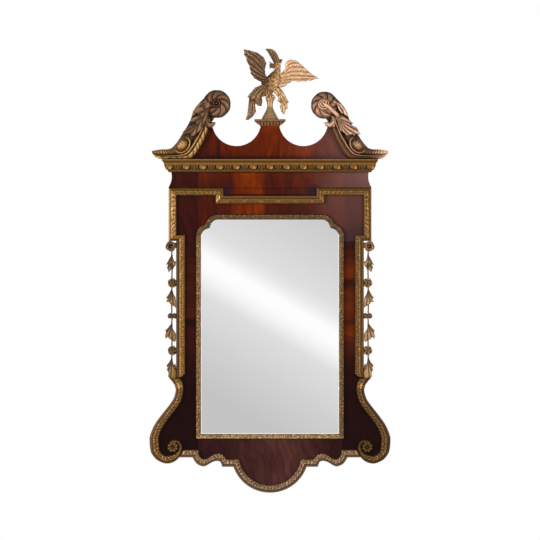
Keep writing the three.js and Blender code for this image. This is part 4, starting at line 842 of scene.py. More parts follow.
cornice_gilt = gilding("water gilding on the cornice", "#1c0d03", "#694613", "#c99560", "#84543a", 0.3)
corner_x = PEDIMENT_HALF + 0.3
front_length = cornice_length((-corner_x + 0.15, FACE), (corner_x - 0.15, FACE), (-1, -1), (1, -1),
                              -corner_x, corner_x)
make("egg_and_dart_front", front_length, cornice_gilt, "cornice_front")
for name, side in SIDES:
    side_length = cornice_length((side * corner_x, FACE + 0.15), (side * corner_x, -12.3), (side, -1),
                                 (side, 0), corner_x - EGG_PITCH * 0.1, corner_x + 25.3 + 4)
    make("egg_and_dart_return_" + name, side_length, cornice_gilt, "cornice_return_" + name)

# ------------------------------------------------------------------ plinth cap
# The little moulded block between the scoops that carries the finial: a plain fillet
# over a leaf-cut hollow, bored for the finial's peg.

NECK_TOP, CAP_H, CAP_OUT, CAP_HALF = 245.3, 21, 20.7, 30.8
CAP_LEVELS = ((0, 0.145), (0.16, 0.17), (0.24, 0.3), (0.34, 0.5), (0.55, 0.725), (0.66, 0.84),
              (0.68, 0.93), (0.76, 1), (0.98, 1), (1, 0.97))
CAP_STEPS = (51, 22)  # along the front and along each side
CAP_PEG_Y, PEG_R, PEG_SIDES = -28.5, 4.8, 24


def inside(points, outline):
    """Which points lie inside a closed outline."""
    x, y = points[:, 0][:, None], points[:, 1][:, None]
    a, b = outline, np.roll(outline, -1, axis=0)
    crosses = (a[:, 1] > y) != (b[:, 1] > y)
    rise = np.where(b[:, 1] == a[:, 1], 1e-12, b[:, 1] - a[:, 1])
    where = a[:, 0] + (y - a[:, 1]) / rise * (b[:, 0] - a[:, 0])
    return (np.sum(crosses & (x < where), axis=1) % 2) == 1


def plinth_cap():
    """The cap's carved sides, its flat back and top, and the hole for the peg."""
    levels = fine_line(CAP_LEVELS, 0.05)
    rows = []
    wear_and_light_arrays = []
    for t, share in levels:
        half, front = CAP_HALF + share * CAP_OUT, -37.3 - share * CAP_OUT
        corners = np.array([(-half, -0.3), (-half, front), (half, front), (half, -0.3)])
        pieces = []
        for a, b in zip(corners[:-1], corners[1:]):
            steps = CAP_STEPS[0] if a[1] == b[1] else CAP_STEPS[1]
            pieces.append(a + (b - a) * np.linspace(0, 1, steps + 1)[:-1, None])
        ring = np.vstack(pieces + [corners[-1:]])
        run = np.concatenate([[0], np.cumsum(np.linalg.norm(np.diff(ring, axis=0), axis=1))])
        leafy = np.sin(np.pi * np.clip((t - 0.06) / 0.6, 0, 1))
        cut = np.abs(np.sin(np.pi * (run - run[-1] / 2) / 10.5)) ** 0.7
        ring = ring + unit(ring - np.array((0, -20))) * (leafy * (cut - 0.75) * 1.8)[:, None]
        ring[0, 1] = ring[-1, 1] = -0.3
        rows.append(np.column_stack([ring, np.full(len(ring), NECK_TOP + t * CAP_H)]))
        wear_and_light_arrays.append(np.clip(0.46 + leafy * (cut - 0.6) * 0.8 + (0.12 if t > 0.68 else 0), 0, 1))
    count = len(rows[0])
    points = np.vstack(rows)
    faces = wrapped(len(rows), count)
    turn = full_turn(PEG_SIDES)
    bore = np.column_stack([PEG_R * np.cos(turn), CAP_PEG_Y + PEG_R * np.sin(turn)])
    start = len(points)
    for z in (NECK_TOP, NECK_TOP + CAP_H):
        points = np.vstack([points, np.column_stack([bore, np.full(PEG_SIDES, z)])])
    faces += [tuple(start + i for i in face) for face in wrapped(2, PEG_SIDES)]
    for base, ring_at in ((0, start), (len(rows) * count - count, start + PEG_SIDES)):
        rim = points[base : base + count, :2]
        both = np.vstack([rim, points[ring_at : ring_at + PEG_SIDES, :2]])
        edges = [(j, (j + 1) % count) for j in range(count)]
        edges += [(count + j, count + (j + 1) % PEG_SIDES) for j in range(PEG_SIDES)]
        made = delaunay_2d_cdt([Vector(p) for p in both], edges, [], 0, 1e-5)
        lookup = [base + o[0] if o[0] < count else ring_at + o[0] - count for o in made[3]]
        for tri in made[2]:
            middle = np.mean([made[0][i] for i in tri], axis=0)
            if np.hypot(middle[0], middle[1] - CAP_PEG_Y) > PEG_R * 0.95 and inside(middle[None], rim)[0]:
                faces.append(tuple(lookup[i] for i in tri))
    return points, faces, np.concatenate(wear_and_light_arrays + [np.full(2 * PEG_SIDES, 0.2)])


cap_gilt = gilding("worn gilding on the plinth cap", "#1e1007", "#5c4022", "#bc9074", "#744632", 0.45)
make("leaf_cut_plinth_cap", plinth_cap(), cap_gilt, "plinth_cap")

# ------------------------------------------------------------------ scrolled necks
# The two halves of the broken pediment: carved lengths that rise from a horn on the
# cornice, with an egg in a ring, a fillet and a strip that is cut deeper on the left.

NECK_PAIRS = ((65, 28, 62, 18), (50, 31, 48, 5), (31, 33.5, 26, 0.3), (13, 34, -4, 0.3),
              (-2, 39, -36, 0.3), (-20, 59, -64, 0.3), (-38.5, 88, -84, 20), (-51, 108, -97, 42),
              (-60, 124, -108, 62), (-70, 148, -118.5, 88), (-78, 166, -124, 104), (-89, 183, -129, 118),
              (-103, 198, -137, 128), (-121, 214, -143, 140), (-135, 226, -146, 156))
NECK_PROUD = 30
NECK_KNOTS = ((0, 0), (0.01, 10), (0.05, 18), (0.14, 23.5), (0.3, 25.5), (0.44, 24.5), (0.52, 19),
              (0.58, 17), (0.62, 19), (0.66, 26), (0.7, 27), (0.735, 24), (0.76, 18.5), (0.84, 20.5),
              (0.93, 16), (0.98, 10), (1, 0))
pairs = np.array(NECK_PAIRS) + (PEDIMENT_HALF, CORNICE_TOP) * 2
neck_up, neck_down = smooth(pairs[:, :2], 70), smooth(pairs[:, 2:], 70)


def neck_section(run, share, length, depth=3.0, gold=0.1, horn_gold=0.08):
    """The neck's carving: horn leafage, then a hollow with a fillet beside a cut strip.
    The strip's cuts have a depth, and more or less gold is left on it and on the horn."""
    t = run / length
    height = profile_at(NECK_KNOTS, share)
    horn = np.clip(1 - t / 0.2, 0, 1)
    height = height * (0.3 + 0.7 * np.clip(t / 0.16, 0, 1) ** 0.7)
    strip = np.clip((share - 0.76) / 0.04, 0, 1) * np.clip((0.985 - share) / 0.03, 0, 1)
    cuts = np.abs(np.sin(np.pi * (run / 19 + 0.22 * np.sin(run / 13)) + 9 * (share - 0.8))) ** 0.45
    height = height + depth * strip * (cuts - 0.55) * (t > 0.16) * (share < 0.99)
    fillet = hump(share, 0.69, 0.03) * np.clip((t - 0.1) / 0.08, 0, 1)
    gutter = hump(share, 0.57, 0.045) + hump(share, 0.765, 0.02)
    leafy = np.clip(np.sin(np.pi * np.clip(t / 0.3, 0, 1)), 0, 1)
    leafy = leafy * np.clip(np.sin(np.pi * np.clip(share / 0.6, 0, 1)), 0, 1)
    veins = np.abs(np.sin(np.pi * (run / 9.5 + 3.2 * (share - 0.35) ** 2)))
    height = height + leafy * (veins - 0.6) * 4.2
    shell = np.clip((t - 0.4) / 0.1, 0, 1) * (share < 0.6)
    struck = punched(run, share * 60, 6.0, 2) * (t > 0.2) * (share < 0.55)
    height = height - 1.4 * struck
    wear_and_light = 0.34 + 0.4 * fillet - 0.3 * gutter + strip * (gold + (cuts - 0.4) * depth * 0.16)
    wear_and_light = wear_and_light + leafy * (veins - 0.5) * 0.5 + horn_gold * horn
    wear_and_light = wear_and_light - 0.1 * shell - 0.26 * shell * (share < 0.22) - 0.2 * struck
    wear_and_light = wear_and_light - 0.55 * np.clip((t - 0.82) / 0.06, 0, 1)
    return np.where((share <= 0) | (share >= 1), 0, np.clip(height, 0, NECK_PROUD)), np.clip(wear_and_light, 0, 1)


neck_section.across = (0, 0.01, 0.03, 0.05, 0.09, 0.14, 0.18, 0.22, 0.26, 0.3, 0.34, 0.38, 0.42, 0.46, 0.5,
                       0.54, 0.57, 0.6, 0.63, 0.65, 0.67, 0.69, 0.71, 0.73, 0.75, 0.77, 0.8, 0.83, 0.86,
                       0.89, 0.92, 0.95, 0.97, 0.99, 1)


def plain_neck_section(run, share, length):
    """The right neck's carving: its strip is shallower and duller, its horn brighter."""
    return neck_section(run, share, length, 1.0, -0.03, 0.6)


plain_neck_section.across = neck_section.across
# the right side has kept its pink bole, the left is browner
neck_gilt = {
    "left": gilding("water gilding on the left neck", "#1f1004", "#694719", "#dcae70", "#845440", 0.35),
    "right": gilding("water gilding on the right neck", "#1f1006", "#5c3c20", "#d8a884", "#845040", 0.4),
}
carving_gilt = {
    "left": gilding("worn gilding on the left carvings", "#1a0f08", "#573922", "#88694c", "#5c3a28", 0.5),
    "right": gilding("worn gilding on the right carvings", "#2a180e", "#7c5a42", "#dcb094", "#8c5a48", 0.5),
}


def domed(rows, count):
    """Faces over rows of points that close on one more point at the top."""
    faces = wrapped(rows, count) + [range((rows - 1) * count, rows * count)]
    return faces + [(rows * count, j, (j + 1) % count) for j in range(count)]


def dome(centre, half, angle, base, height, ribs=0.0, steps=22):
    """An oval boss on the face: its half sizes, its turn in degrees, and shallow ribs."""
    turn = full_turn(steps * 2)[None, :]
    share = np.linspace(0, 1, steps // 2 + 1)[1:, None]
    u, v = half[0] * share * np.cos(turn), half[1] * share * np.sin(turn)
    c, s = math.cos(math.radians(angle)), math.sin(math.radians(angle))
    rise = height * np.sqrt(np.clip(1 - share**2, 0, 1)) * (1 - ribs * (1 - np.abs(np.cos(u / half[0] * 9))))
    points = np.stack([centre[0] + u * c - v * s, base - rise, centre[1] + u * s + v * c], -1).reshape(-1, 3)
    points = np.vstack([points, [[centre[0], base - height, centre[1]]]])
    wear_and_light = np.concatenate([(0.1 + 0.6 * (rise / height) ** 1.4).ravel(), [0.7]])
    return points, domed(len(share), steps * 2), wear_and_light


def tube(path, radii, sides=12, flat=1.0, wear_and_light=0.5, bumps=None):
    """A carved limb along a path of x, y, z points, with its radius at each point."""
    path = smooth(np.asarray(path, float), max(8, (len(path) - 1) * 6))
    radii = np.interp(np.linspace(0, 1, len(path)), np.linspace(0, 1, len(radii)), radii)
    along = unit(np.gradient(path, axis=0))
    side = unit(np.cross(along, (0, 1, 0.001)))
    front = np.cross(side, along)
    turn = full_turn(sides)
    rings = []
    for i, (p, r) in enumerate(zip(path, radii)):
        swell = np.ones(sides) if bumps is None else 1 + bumps(i / (len(path) - 1), turn)
        across = side[i] * np.cos(turn)[:, None] + front[i] * flat * np.sin(turn)[:, None]
        rings.append(p + across * (r * swell)[:, None])
    points = np.vstack(rings)
    return points, capped(len(rings), sides), np.full(len(points), wear_and_light)


EGG_AT = (-37, 47)  # from the shoulder of the cornice
for name, side in SIDES:
    crown = neck_up.copy()
    if side > 0:  # the right one is a little lower in the crown
        crown[:, 1] = np.where(crown[:, 1] > 344, 344 + (crown[:, 1] - 344) * 0.6, crown[:, 1])
    carving = neck_section if side < 0 else plain_neck_section
    parts = [lay(flipped(crown, side), flipped(neck_down, side), carving)]
    place = (side * (PEDIMENT_HALF + EGG_AT[0]), CORNICE_TOP + EGG_AT[1])
    parts.append(dome(place, (24, 18), side * -47, FACE - 20, 19.5, 0.12))
    lean = math.radians(side * -47)
    ring = [(place[0] + 28.5 * math.cos(a) * math.cos(lean) - 21.5 * math.sin(a) * math.sin(lean),
             FACE - 25.5,
             place[1] + 28.5 * math.cos(a) * math.sin(lean) + 21.5 * math.sin(a) * math.cos(lean))
            for a in np.radians(np.linspace(165, 375, 20))]
    parts.append(tube(ring, [1.6, 2.8, 2.8, 2.8, 1.6], 10, 1.2, 0.6))
    make("scrolled_neck_" + name, joined(*parts), neck_gilt[name], "scroll_neck_" + name)

# ------------------------------------------------------------------ rosettes
# The scrolled heads of the necks, each a deep drum carved as a coiled leaf. The left one
# has a ringed eye with a pip; the right one winds in a tight spiral.

ROSETTE = (175.5, 316.5)
ROSETTE_R, ROSETTE_PROUD = 46, 38


def rosette(centre, radius, eye_at, side, spiral):
    """A coiled drum: broad lobes that fan from the eye and roll over the rim."""
    rings, count = 40, 144
    share = np.linspace(0, 1, rings + 1)[1:, None]
    turn = full_turn(count)[None, :]
    lean = turn * side
    lobes = 8
    bend = 1.2 if spiral else 1.3
    lobe = np.abs(np.sin(lobes * (lean + bend * (1 - share)) / 2)) ** 0.55
    eye = 0.42 if spiral else 0.28
    fan = np.clip((share - eye) / (1 - eye), 0, 1)
    crown = 1 - 0.42 * fan**3.2 - 0.1 * (1 - fan) ** 2
    lift = crown - 0.2 * (1 - lobe) * np.sin(np.pi * np.clip(fan * 1.02, 0, 1)) ** 0.5
    wear_and_light = 0.22 + 0.44 * lobe**1.3 * np.sin(np.pi * np.clip(fan * 0.94 + 0.04, 0, 1)) ** 0.6
    if spiral:
        coil = (share / eye * 2.6 - lean / (2 * np.pi)) % 1
        thread = np.sin(np.pi * coil) ** 0.8
        lift = np.where(share < eye, 0.83 + 0.15 * thread, lift)
        wear_and_light = np.where(share < eye, 0.05 + 0.85 * thread, wear_and_light)
    else:
        pip = hump(share, 0, 0.085)
        ring = hump(share, 0.22, 0.045)
        well = hump(share, 0.13, 0.045) + hump(share, 0.31, 0.03) * 0.7
        dish = 0.8 + 0.12 * pip + 0.13 * ring - 0.14 * well + 0.06 * (share / 0.34) ** 4
        lift = np.where(share < 0.34, dish, lift)
        wear_and_light = np.where(share < 0.34, 0.34 + 0.35 * pip + 0.26 * ring - 0.42 * well, wear_and_light)
    # darker at the rim, the right one darker all over, and a painted highlight on one side: below on the right
    # one, outside on the left
    brighter_by = np.cos(turn - math.radians(265 if spiral else -20))
    worn = 0.16 * hump(share, 0.98, 0.1) + (0.1 if spiral else 0)
    wear_and_light = wear_and_light + (share > eye) * (0.14 * brighter_by * share - worn)
    edge = 1 - 0.025 * (1 - lobe) * share**3
    x = eye_at[0] + (centre[0] + radius * edge * np.cos(turn) - eye_at[0]) * share
    z = eye_at[1] + (centre[1] + radius * edge * np.sin(turn) - eye_at[1]) * share
    y = FACE - ROSETTE_PROUD * np.clip(lift, 0.1, 1) * np.ones_like(turn)
    walls = [np.stack([x[-1], np.full(count, FACE - ROSETTE_PROUD * depth), z[-1]], -1)
             for depth in (0.42, 0.28, 0.14, 0.0)]
    top = [[eye_at[0], FACE - 0.84 * ROSETTE_PROUD, eye_at[1]]]
    points = np.vstack([np.stack([x, y, z], -1).reshape(-1, 3)] + walls + [top])
    wear_and_light = np.concatenate([(wear_and_light * np.ones_like(turn)).ravel(), np.full(len(walls) * count, 0.18), [0.7]])
    return points, domed(rings + len(walls), count), np.clip(wear_and_light, 0, 1)


for name, side, centre, radius, eye_at in (("left", -1, (-ROSETTE[0], ROSETTE[1]), ROSETTE_R, (-176.5, 318.5)),
                                           ("right", 1, (179.5, 312.5), ROSETTE_R - 1.4, (173.5, 317))):
    coiled = rosette(centre, radius, eye_at, side, name == "right")
    make("coiled_rosette_" + name, coiled, carving_gilt[name], "rosette_" + name)

# ------------------------------------------------------------------ acanthus on the necks
# A leaf is applied to each neck under its rosette. The right one springs from the eye
# on a ribbed stem and fans into curled tips; the left one is long, with broken lobes.


def resampled(outline, step):
    """A closed outline with points about a step apart."""
    outline = np.asarray(outline, float)
    return fine_line(np.vstack([outline, outline[:1]]), step)[:-1]


def distances(points, line):
    """How far each point is from a line."""
    line = np.asarray(line, float)
    best = np.full(len(points), np.inf)
    for a, b in zip(line[:-1], line[1:]):
        run = b - a
        t = np.clip(((points - a) @ run) / max(run @ run, 1e-9), 0, 1)
        best = np.minimum(best, np.linalg.norm(points - (a + t[:, None] * run), axis=1))
    return best


def relief(outline, ribs, back, thick, step=2.0, edge=3.0, groove=4.0, cut=3.0, ridge=1.0, curl=None,
           hollow=0.25, line=0.35):
    """A carved leaf or feather: points, faces, and wear and painted light. Ribs are lines
    on it; the surface falls to a V where two of them are equally near, and rounds over at
    the edge."""
    ring = resampled(outline, step)
    low, high = ring.min(axis=0), ring.max(axis=0)
    across = np.arange(low[0], high[0] + step, step)
    up = np.arange(low[1], high[1] + step, step * 0.866)
    grid = np.array([(x + (step / 2 if j % 2 else 0), z) for j, z in enumerate(up) for x in across])
    closed = np.vstack([ring, ring[:1]])
    grid = grid[inside(grid, ring)]
    grid = grid[distances(grid, closed) > step * 0.55]
    flat = np.vstack([ring, grid])
    count = len(ring)
    made = delaunay_2d_cdt([Vector(p) for p in flat], [(j, (j + 1) % count) for j in range(count)], [], 0, 1e-6)
    flat = np.array([tuple(p) for p in made[0]])
    middles = np.array([np.mean([flat[i] for i in tri], axis=0) for tri in made[2]])
    keep = inside(middles, ring)
    triangles = [tuple(tri) for tri, good in zip(made[2], keep) if good]
    from_edge = distances(flat, closed)
    near = np.sort(np.stack([distances(flat, rib) for rib in ribs]), axis=0)
    first = near[0]
    second = near[1] if len(near) > 1 else first + 99
    apart = np.clip((second - first) / groove, 0, 1)
    rib = hump(first, 0, 1.5)
    round_over = np.sqrt(np.clip(1 - (1 - np.clip(from_edge / edge, 0, 1)) ** 2, 0, 1))
    front = thick * (hollow + (1 - hollow) * round_over) + (ridge * rib - cut * (1 - apart**0.7)) * round_over
    wear_and_light = 0.08 + 0.62 * apart**0.8 * (0.35 + 0.65 * round_over) + line * rib
    wear_and_light = wear_and_light - 0.2 * hump(from_edge, 0.2, 1.4)
    bend = curl(flat) if curl else np.zeros(len(flat))
    front_y = back - np.maximum(front, thick * 0.12) - bend
    back_y = back - bend
    points = np.vstack([np.column_stack([flat[:, 0], y, flat[:, 1]]) for y in (front_y, back_y)])
    total = len(flat)
    faces = list(triangles) + [tuple(total + i for i in tri[::-1]) for tri in triangles]
    sides = {(tri[i], tri[(i + 1) % 3]) for tri in triangles for i in range(3)}
    faces += [(a, b, total + b, total + a) for a, b in sorted(sides) if (b, a) not in sides]
    return points, faces, np.clip(np.concatenate([wear_and_light, np.full(total, 0.15)]), 0, 1)


def set_out(outline, ribs, origin, side=1, steps=0):
    """An outline and its ribs, moved to their place on one side; ribs may be smoothed."""
    ribs = [np.add(origin, rib) for rib in ribs]
    if steps:
        ribs = [smooth(rib, steps) for rib in ribs]
    return flipped(np.add(origin, outline), side), [flipped(rib, side) for rib in ribs]


LEAF_RIGHT = ((6, 5), (22, -6), (40, -22), (54, -35), (70, -43), (86, -54), (99, -65), (88, -67),
              (96, -72), (109, -77), (123, -102), (112, -100), (101, -107), (95, -101), (87, -106),
              (77, -106), (71, -99), (62, -94), (55, -90), (49, -70), (43, -52), (36, -38), (18, -20),
              (0, -7))
LEAF_RIGHT_RIBS = (((2, -1), (22, -14), (42, -36), (70, -70), (120, -101)),
                   ((51, -47), (64, -51), (96, -64)), ((60, -58), (76, -64), (107, -78)),
                   ((56, -62), (72, -84), (99, -104)), ((48, -56), (60, -80), (78, -104)),
                   ((43, -48), (50, -68), (58, -90)))
LEAF_LEFT = ((22, 8), (40, 2), (50, -9), (60, -11), (72, -17), (79, -26), (72, -32), (61, -37), (73, -42),
             (86, -51), (88, -60), (80, -62), (72, -65), (86, -72), (98, -79), (104, -86), (112, -94),
             (109, -103), (97, -100), (88, -99), (82, -109), (71, -106), (61, -97), (52, -88), (44, -72),
             (36, -56), (28, -36), (20, -18))
LEAF_LEFT_RIBS = (((26, -4), (42, -34), (64, -66), (86, -88), (110, -99)),
                  ((36, -22), (54, -19), (75, -25)), ((50, -46), (66, -48), (86, -56)),
                  ((66, -68), (84, -78), (104, -90)), ((32, -20), (36, -44), (44, -70)),
                  ((50, -50), (54, -72), (60, -93)), ((66, -68), (71, -88), (78, -106)))
LEAF_SEAT = FACE - NECK_PROUD - 0.3


def leaf_curl(side):
    """The leaf lies down on the neck at its foot and its tips curl forward."""

    def bend(flat):
        out = (flat[:, 0] * side - ROSETTE[0]) - (flat[:, 1] - ROSETTE[1])
        return -3.0 + 3.2 * np.clip((out - 120) / 100, 0, 1) ** 1.5

    return bend


# each leaf's outline and ribs, and how much more gold is left on it
for name, side, outline, ribs, brighter_by in (("left", -1, LEAF_LEFT, LEAF_LEFT_RIBS, 0.0),
                                        ("right", 1, LEAF_RIGHT, LEAF_RIGHT_RIBS, 0.12)):
    points, faces, wear_and_light = relief(*set_out(outline, ribs, ROSETTE, side, 10), LEAF_SEAT, 15, step=1.7, edge=4,
                                groove=12, cut=3.6, ridge=0.8, curl=leaf_curl(side), hollow=0.35, line=0.14)
    make("acanthus_" + name, (points, faces, wear_and_light + brighter_by), carving_gilt[name], "scroll_leaf_" + name)

# Small curled leaves finish each neck: a hook at the corner of the scoop, and a lobe
# and a bead on the outer edge below the rosette.
HOOK = ((3, -61), (7, -70), (15, -77), (27, -81), (38, -76), (45, -63), (43, -48), (32, -36), (24, -42),
        (27, -54), (22, -61), (13, -59))
HOOK_RIBS = (((34, -42), (35, -62), (22, -71), (5, -64)), ((38, -46), (41, -62), (34, -74)))
LOBE = ((27, 14), (48, 9), (68, -8), (80, -30), (84, -45), (70, -40), (60, -34), (50, -24), (46, -8), (32, 2))
LOBE_RIBS = (((30, 8), (50, 0), (66, -18), (80, -42)), ((44, 2), (52, -14), (60, -30)))
for name, side in SIDES:
    parts = []
    for outline, ribs, seat, thick in ((HOOK, HOOK_RIBS, FACE - 6, 22), (LOBE, LOBE_RIBS, FACE - 14, 19)):
        parts.append(relief(*set_out(outline, ribs, ROSETTE, side, 10), seat, thick, step=1.7, edge=5, groove=7,
                            cut=4, ridge=1.4, hollow=0.3))
    parts.append(dome((side * (ROSETTE[0] + 71), ROSETTE[1] - 26), (5.5, 6.5), 0, FACE - 20, 12))
    make("curled_leaves_" + name, joined(*parts), carving_gilt[name])

# ------------------------------------------------------------------ finial
# A carved and gilt phoenix on a turned pedestal, on a peg in the plinth. Wings, tail and
# plume are separate pieces let into the body. The left wing has kept the least gold.

FINIAL_Z, FINIAL_Y, PERCH = 266.6, -28.5, 343.6
PEDESTAL = ((0, 0), (27.2, 0), (27.5, 1.2), (26.6, 4.5), (24.5, 9), (20.2, 17), (15.2, 26), (11.4, 34),
            (9.2, 42), (9.2, 50), (11.2, 58), (13.4, 65), (13.4, 70), (10.5, 74.5), (5, 77), (0, 77))


def turned(profile, centre, steps, flutes=0, depth=0.0):
    """A turned piece from radii and heights, with shallow facets if asked."""
    profile = fine_line(profile, 1.6)
    turn = full_turn(steps)[None, :]
    radius = profile[:, :1] * (1 - depth * np.abs(np.sin(flutes * turn / 2)))
    points = np.stack([centre[0] + radius * np.cos(turn), centre[1] + radius * np.sin(turn),
                       centre[2] + profile[:, 1:] * np.ones_like(turn)], -1).reshape(-1, 3)
    # a painted highlight down the front, a little to the right, and painted shade at the foot
    wear_and_light = 0.4 + 0.32 * np.cos(turn - 5.0) * (profile[:, :1] > 5) - 0.25 * hump(profile[:, 1:], 0, 2.5)
    return points, wrapped(len(profile), steps), np.clip(wear_and_light, 0, 1).ravel()


peg = turned([(0, -47), (4, -47), (4.5, -45), (4.5, 2), (0, 2)], (0, FINIAL_Y, FINIAL_Z), 24)
pedestal = turned(PEDESTAL, (0, FINIAL_Y, FINIAL_Z), 64, 8, 0.05)
pedestal_gilt = gilding("burnished gilding on the pedestal", "#2c1a0c", "#5b472c", "#b08c5c", "#6c4434", 0.4,
                        gloss=0.36)
make("turned_pedestal", joined(pedestal, peg), pedestal_gilt, "finial_pedestal", "finial")

BIRD = ((1, 0.3, 7), (2, 11, 8), (4, 21, 13), (7, 33, 19), (9, 45, 23), (12, 58, 22), (18, 70, 16.5),
        (23.5, 81, 12), (25.5, 93, 10), (24.5, 106, 11), (21, 118, 12.5), (15, 131, 13.2), (8, 142, 12.6),
        (0, 149, 9.5), (-8, 153.4, 5.4), (-15.5, 155.8, 1.3))


def body_carving(t, turn):
    """Small overlapped feathers on the breast and neck, and a ridge down the front."""
    scales = np.abs(np.sin(t * 40 + 1.6 * np.cos(turn * 4))) * 0.13 * (t > 0.12) * (t < 0.62)
    strands = 0.07 * np.cos(turn * 9) * (t >= 0.5) * (t < 0.93)
    ridge = 0.14 * hump((turn + np.pi / 2 + 0.35) % (2 * np.pi), np.pi, 0.45)
    return scales + strands + ridge - 0.1


BIRD_SIDES = 36
bird = np.array(BIRD)
bird_path = np.column_stack([bird[:, 0], np.full(len(bird), FINIAL_Y), PERCH + bird[:, 1]])
body_points, body_faces, _ = tube(bird_path, bird[:, 2] - 0.4, BIRD_SIDES, bumps=body_carving)
body_rows = len(body_points) // BIRD_SIDES
cuts = np.array([body_carving(i / (body_rows - 1), full_turn(BIRD_SIDES)) for i in range(body_rows)]).ravel()
bright = (body_points[:, 0] - np.interp(body_points[:, 2] - PERCH, bird[:, 1], bird[:, 0])) / 20
bright = np.clip(bright, -1, 1)
body_points[:, 2] = np.minimum(body_points[:, 2], PERCH + 156.9)
parts = [(body_points, body_faces, np.clip(0.34 + 2.6 * (cuts + 0.06) + 0.34 * bright, 0, 1))]
haunch = dome((7, PERCH + 41), (37, 15), -6, FINIAL_Y + 3, 15, 0.12, steps=28)
parts.append((haunch[0], haunch[1], haunch[2] * np.clip(0.56 + haunch[0][:, 0] / 55, 0.1, 0.95)))
THIGH = ((-35, 26), (-25, 28), (-5, 30), (0.4, 16), (0.4, -0.5), (-2.2, -9), (-7, -2), (-11, 1),
         (-16.5, -0.5), (-25, -1.3), (-27.4, 6), (-31.6, 16))
THIGH_RIBS = (((-8, 28), (-3, 10), (-2, -7)), ((-14, 27), (-12, 14), (-10, 2)),
              ((-22, 26), (-21, 12), (-22, 0)))
leg = relief(*set_out(THIGH, THIGH_RIBS, (0, PERCH)), FINIAL_Y + 4, 9, step=1.6, edge=3, groove=5, cut=3,
             ridge=0.8, hollow=0.4)
parts.append((leg[0], leg[1], leg[2] * 0.55))
for tip, drop in (((-14, -8), 12), ((1, -13), 14), ((15, -7), 13)):  # toes that grip the bulb
    toe = [(1, FINIAL_Y - 2, PERCH + 5), (1 + tip[0] * 0.6, FINIAL_Y + tip[1] * 0.7, PERCH + 2.5),
           (1 + tip[0], FINIAL_Y + tip[1], PERCH - drop * 0.5),
           (1 + tip[0] * 0.93, FINIAL_Y + tip[1] * 0.9, PERCH - drop)]
    parts.append(tube(toe, [3.6, 3.0, 2.6, 0.9], 10, 1.0, 0.6))
parts.append(dome((5, PERCH + 147), (2.2, 2.2), 0, FINIAL_Y - 7.5, 2.4))
bird_gilt = gilding("worn gilding on the phoenix", "#2e1d0e", "#886539", "#e6ba90", "#8a5a46", 0.4)
make("phoenix_body_carved", joined(*parts), bird_gilt, "phoenix_body", "finial")

FEATHERED = {
    "phoenix_wing_left": (
        ((-20, 45), (-36, 50), (-52, 59), (-67, 79), (-62, 77), (-69, 95), (-66, 96), (-75, 112),
         (-79, 123), (-77, 125), (-87, 139), (-84, 142), (-88, 155), (-66, 151), (-40, 143), (-21, 129),
         (-12, 109), (-17, 90), (-15, 71), (-4, 58), (-2, 49)),
        (((-4, 52), (-30, 53), (-60, 70)), ((-6, 56), (-34, 64), (-66, 84)),
         ((-8, 61), (-38, 80), (-70, 104)), ((-10, 68), (-42, 98), (-80, 130)),
         ((-12, 78), (-40, 118), (-85, 150)), ((-14, 90), (-32, 124), (-62, 147)),
         ((-14, 102), (-24, 124), (-38, 139)), ((-20, 50), (-36, 54), (-46, 58)))),
    "phoenix_wing_right": (
        ((24, 63), (38, 77), (45, 85), (53, 92), (50, 105), (57, 117), (71, 121), (86, 118), (109, 100),
         (135, 75), (161, 59), (144, 56), (135, 51), (126, 53), (118, 49), (102, 50), (95, 47), (84, 51),
         (73, 51), (66, 44), (58, 42), (52, 34), (42, 30), (32, 28), (20, 37)),
        (((26, 40), (44, 38), (64, 48)), ((28, 44), (56, 50), (92, 50), (132, 54)),
         ((30, 48), (62, 60), (108, 61), (157, 60)), ((34, 54), (64, 72), (102, 75), (140, 70)),
         ((40, 64), (64, 86), (94, 91), (122, 86)), ((48, 78), (62, 98), (84, 105), (106, 100)),
         ((54, 96), (60, 110), (74, 116), (88, 114)))),
    "phoenix_tail": (
        ((-2, 35), (-26, 39), (-50, 28), (-66, 9), (-75, -2), (-69, -6), (-72, -34), (-75, -61),
         (-81, -78), (-71, -78), (-58, -68), (-46, -51), (-49, -30), (-48, -24), (-38, -32), (-28, -33),
         (-25, -19), (-27, -4), (-20, 5), (-8, 13), (0, 21)),
        (((-4, 34), (-30, 34), (-52, 20), (-74, -2)), ((-4, 31), (-36, 22), (-57, -8), (-63, -42),
                                                       (-79, -77)), ((-58, -14), (-54, -34), (-52, -56)),
         ((-4, 28), (-30, 14), (-40, -8), (-34, -32)), ((-2, 24), (-14, 14), (-24, 0)))),
    "phoenix_plume": (
        ((4, 35), (26, 29), (37, 24), (44, 14), (48, 7), (56, -10), (63, -20), (57, -23), (57, -30),
         (59, -38), (57, -43), (51, -43), (51, -50), (47, -61), (37, -51), (32, -34), (36, -28), (34, -22),
         (24, -16), (28, -8), (26, -2), (15, 10), (6, 19)),
        (((6, 30), (27, 20), (41, -8), (46, -34), (46, -58)), ((34, 16), (47, 0), (61, -19)),
         ((42, -10), (50, -22), (57, -38)), ((34, 6), (31, -6), (26, -14)),
         ((43, -18), (39, -32), (37, -47)), ((8, 24), (18, 16), (24, 4)))),
}
wing_gilt = {
    "phoenix_wing_left": gilding("gilding rubbed to the bole, left wing", "#22150a", "#3e2713", "#7a5b40",
                                 "#4c2c20", 0.5),
    "phoenix_wing_right": gilding("pale gilding over pink bole, right wing", "#6b4928", "#9b7449", "#d0aa86",
                                  "#b27a60", 0.55),
    "phoenix_tail": gilding("dull gilding on the tail", "#26160a", "#493010", "#80644a", "#52301f", 0.4),
    "phoenix_plume": gilding("pale gilding on the plume", "#51361b", "#84643c", "#bc9870", "#986850", 0.5),
}
FEATHER_BACK = FINIAL_Y + 5.5


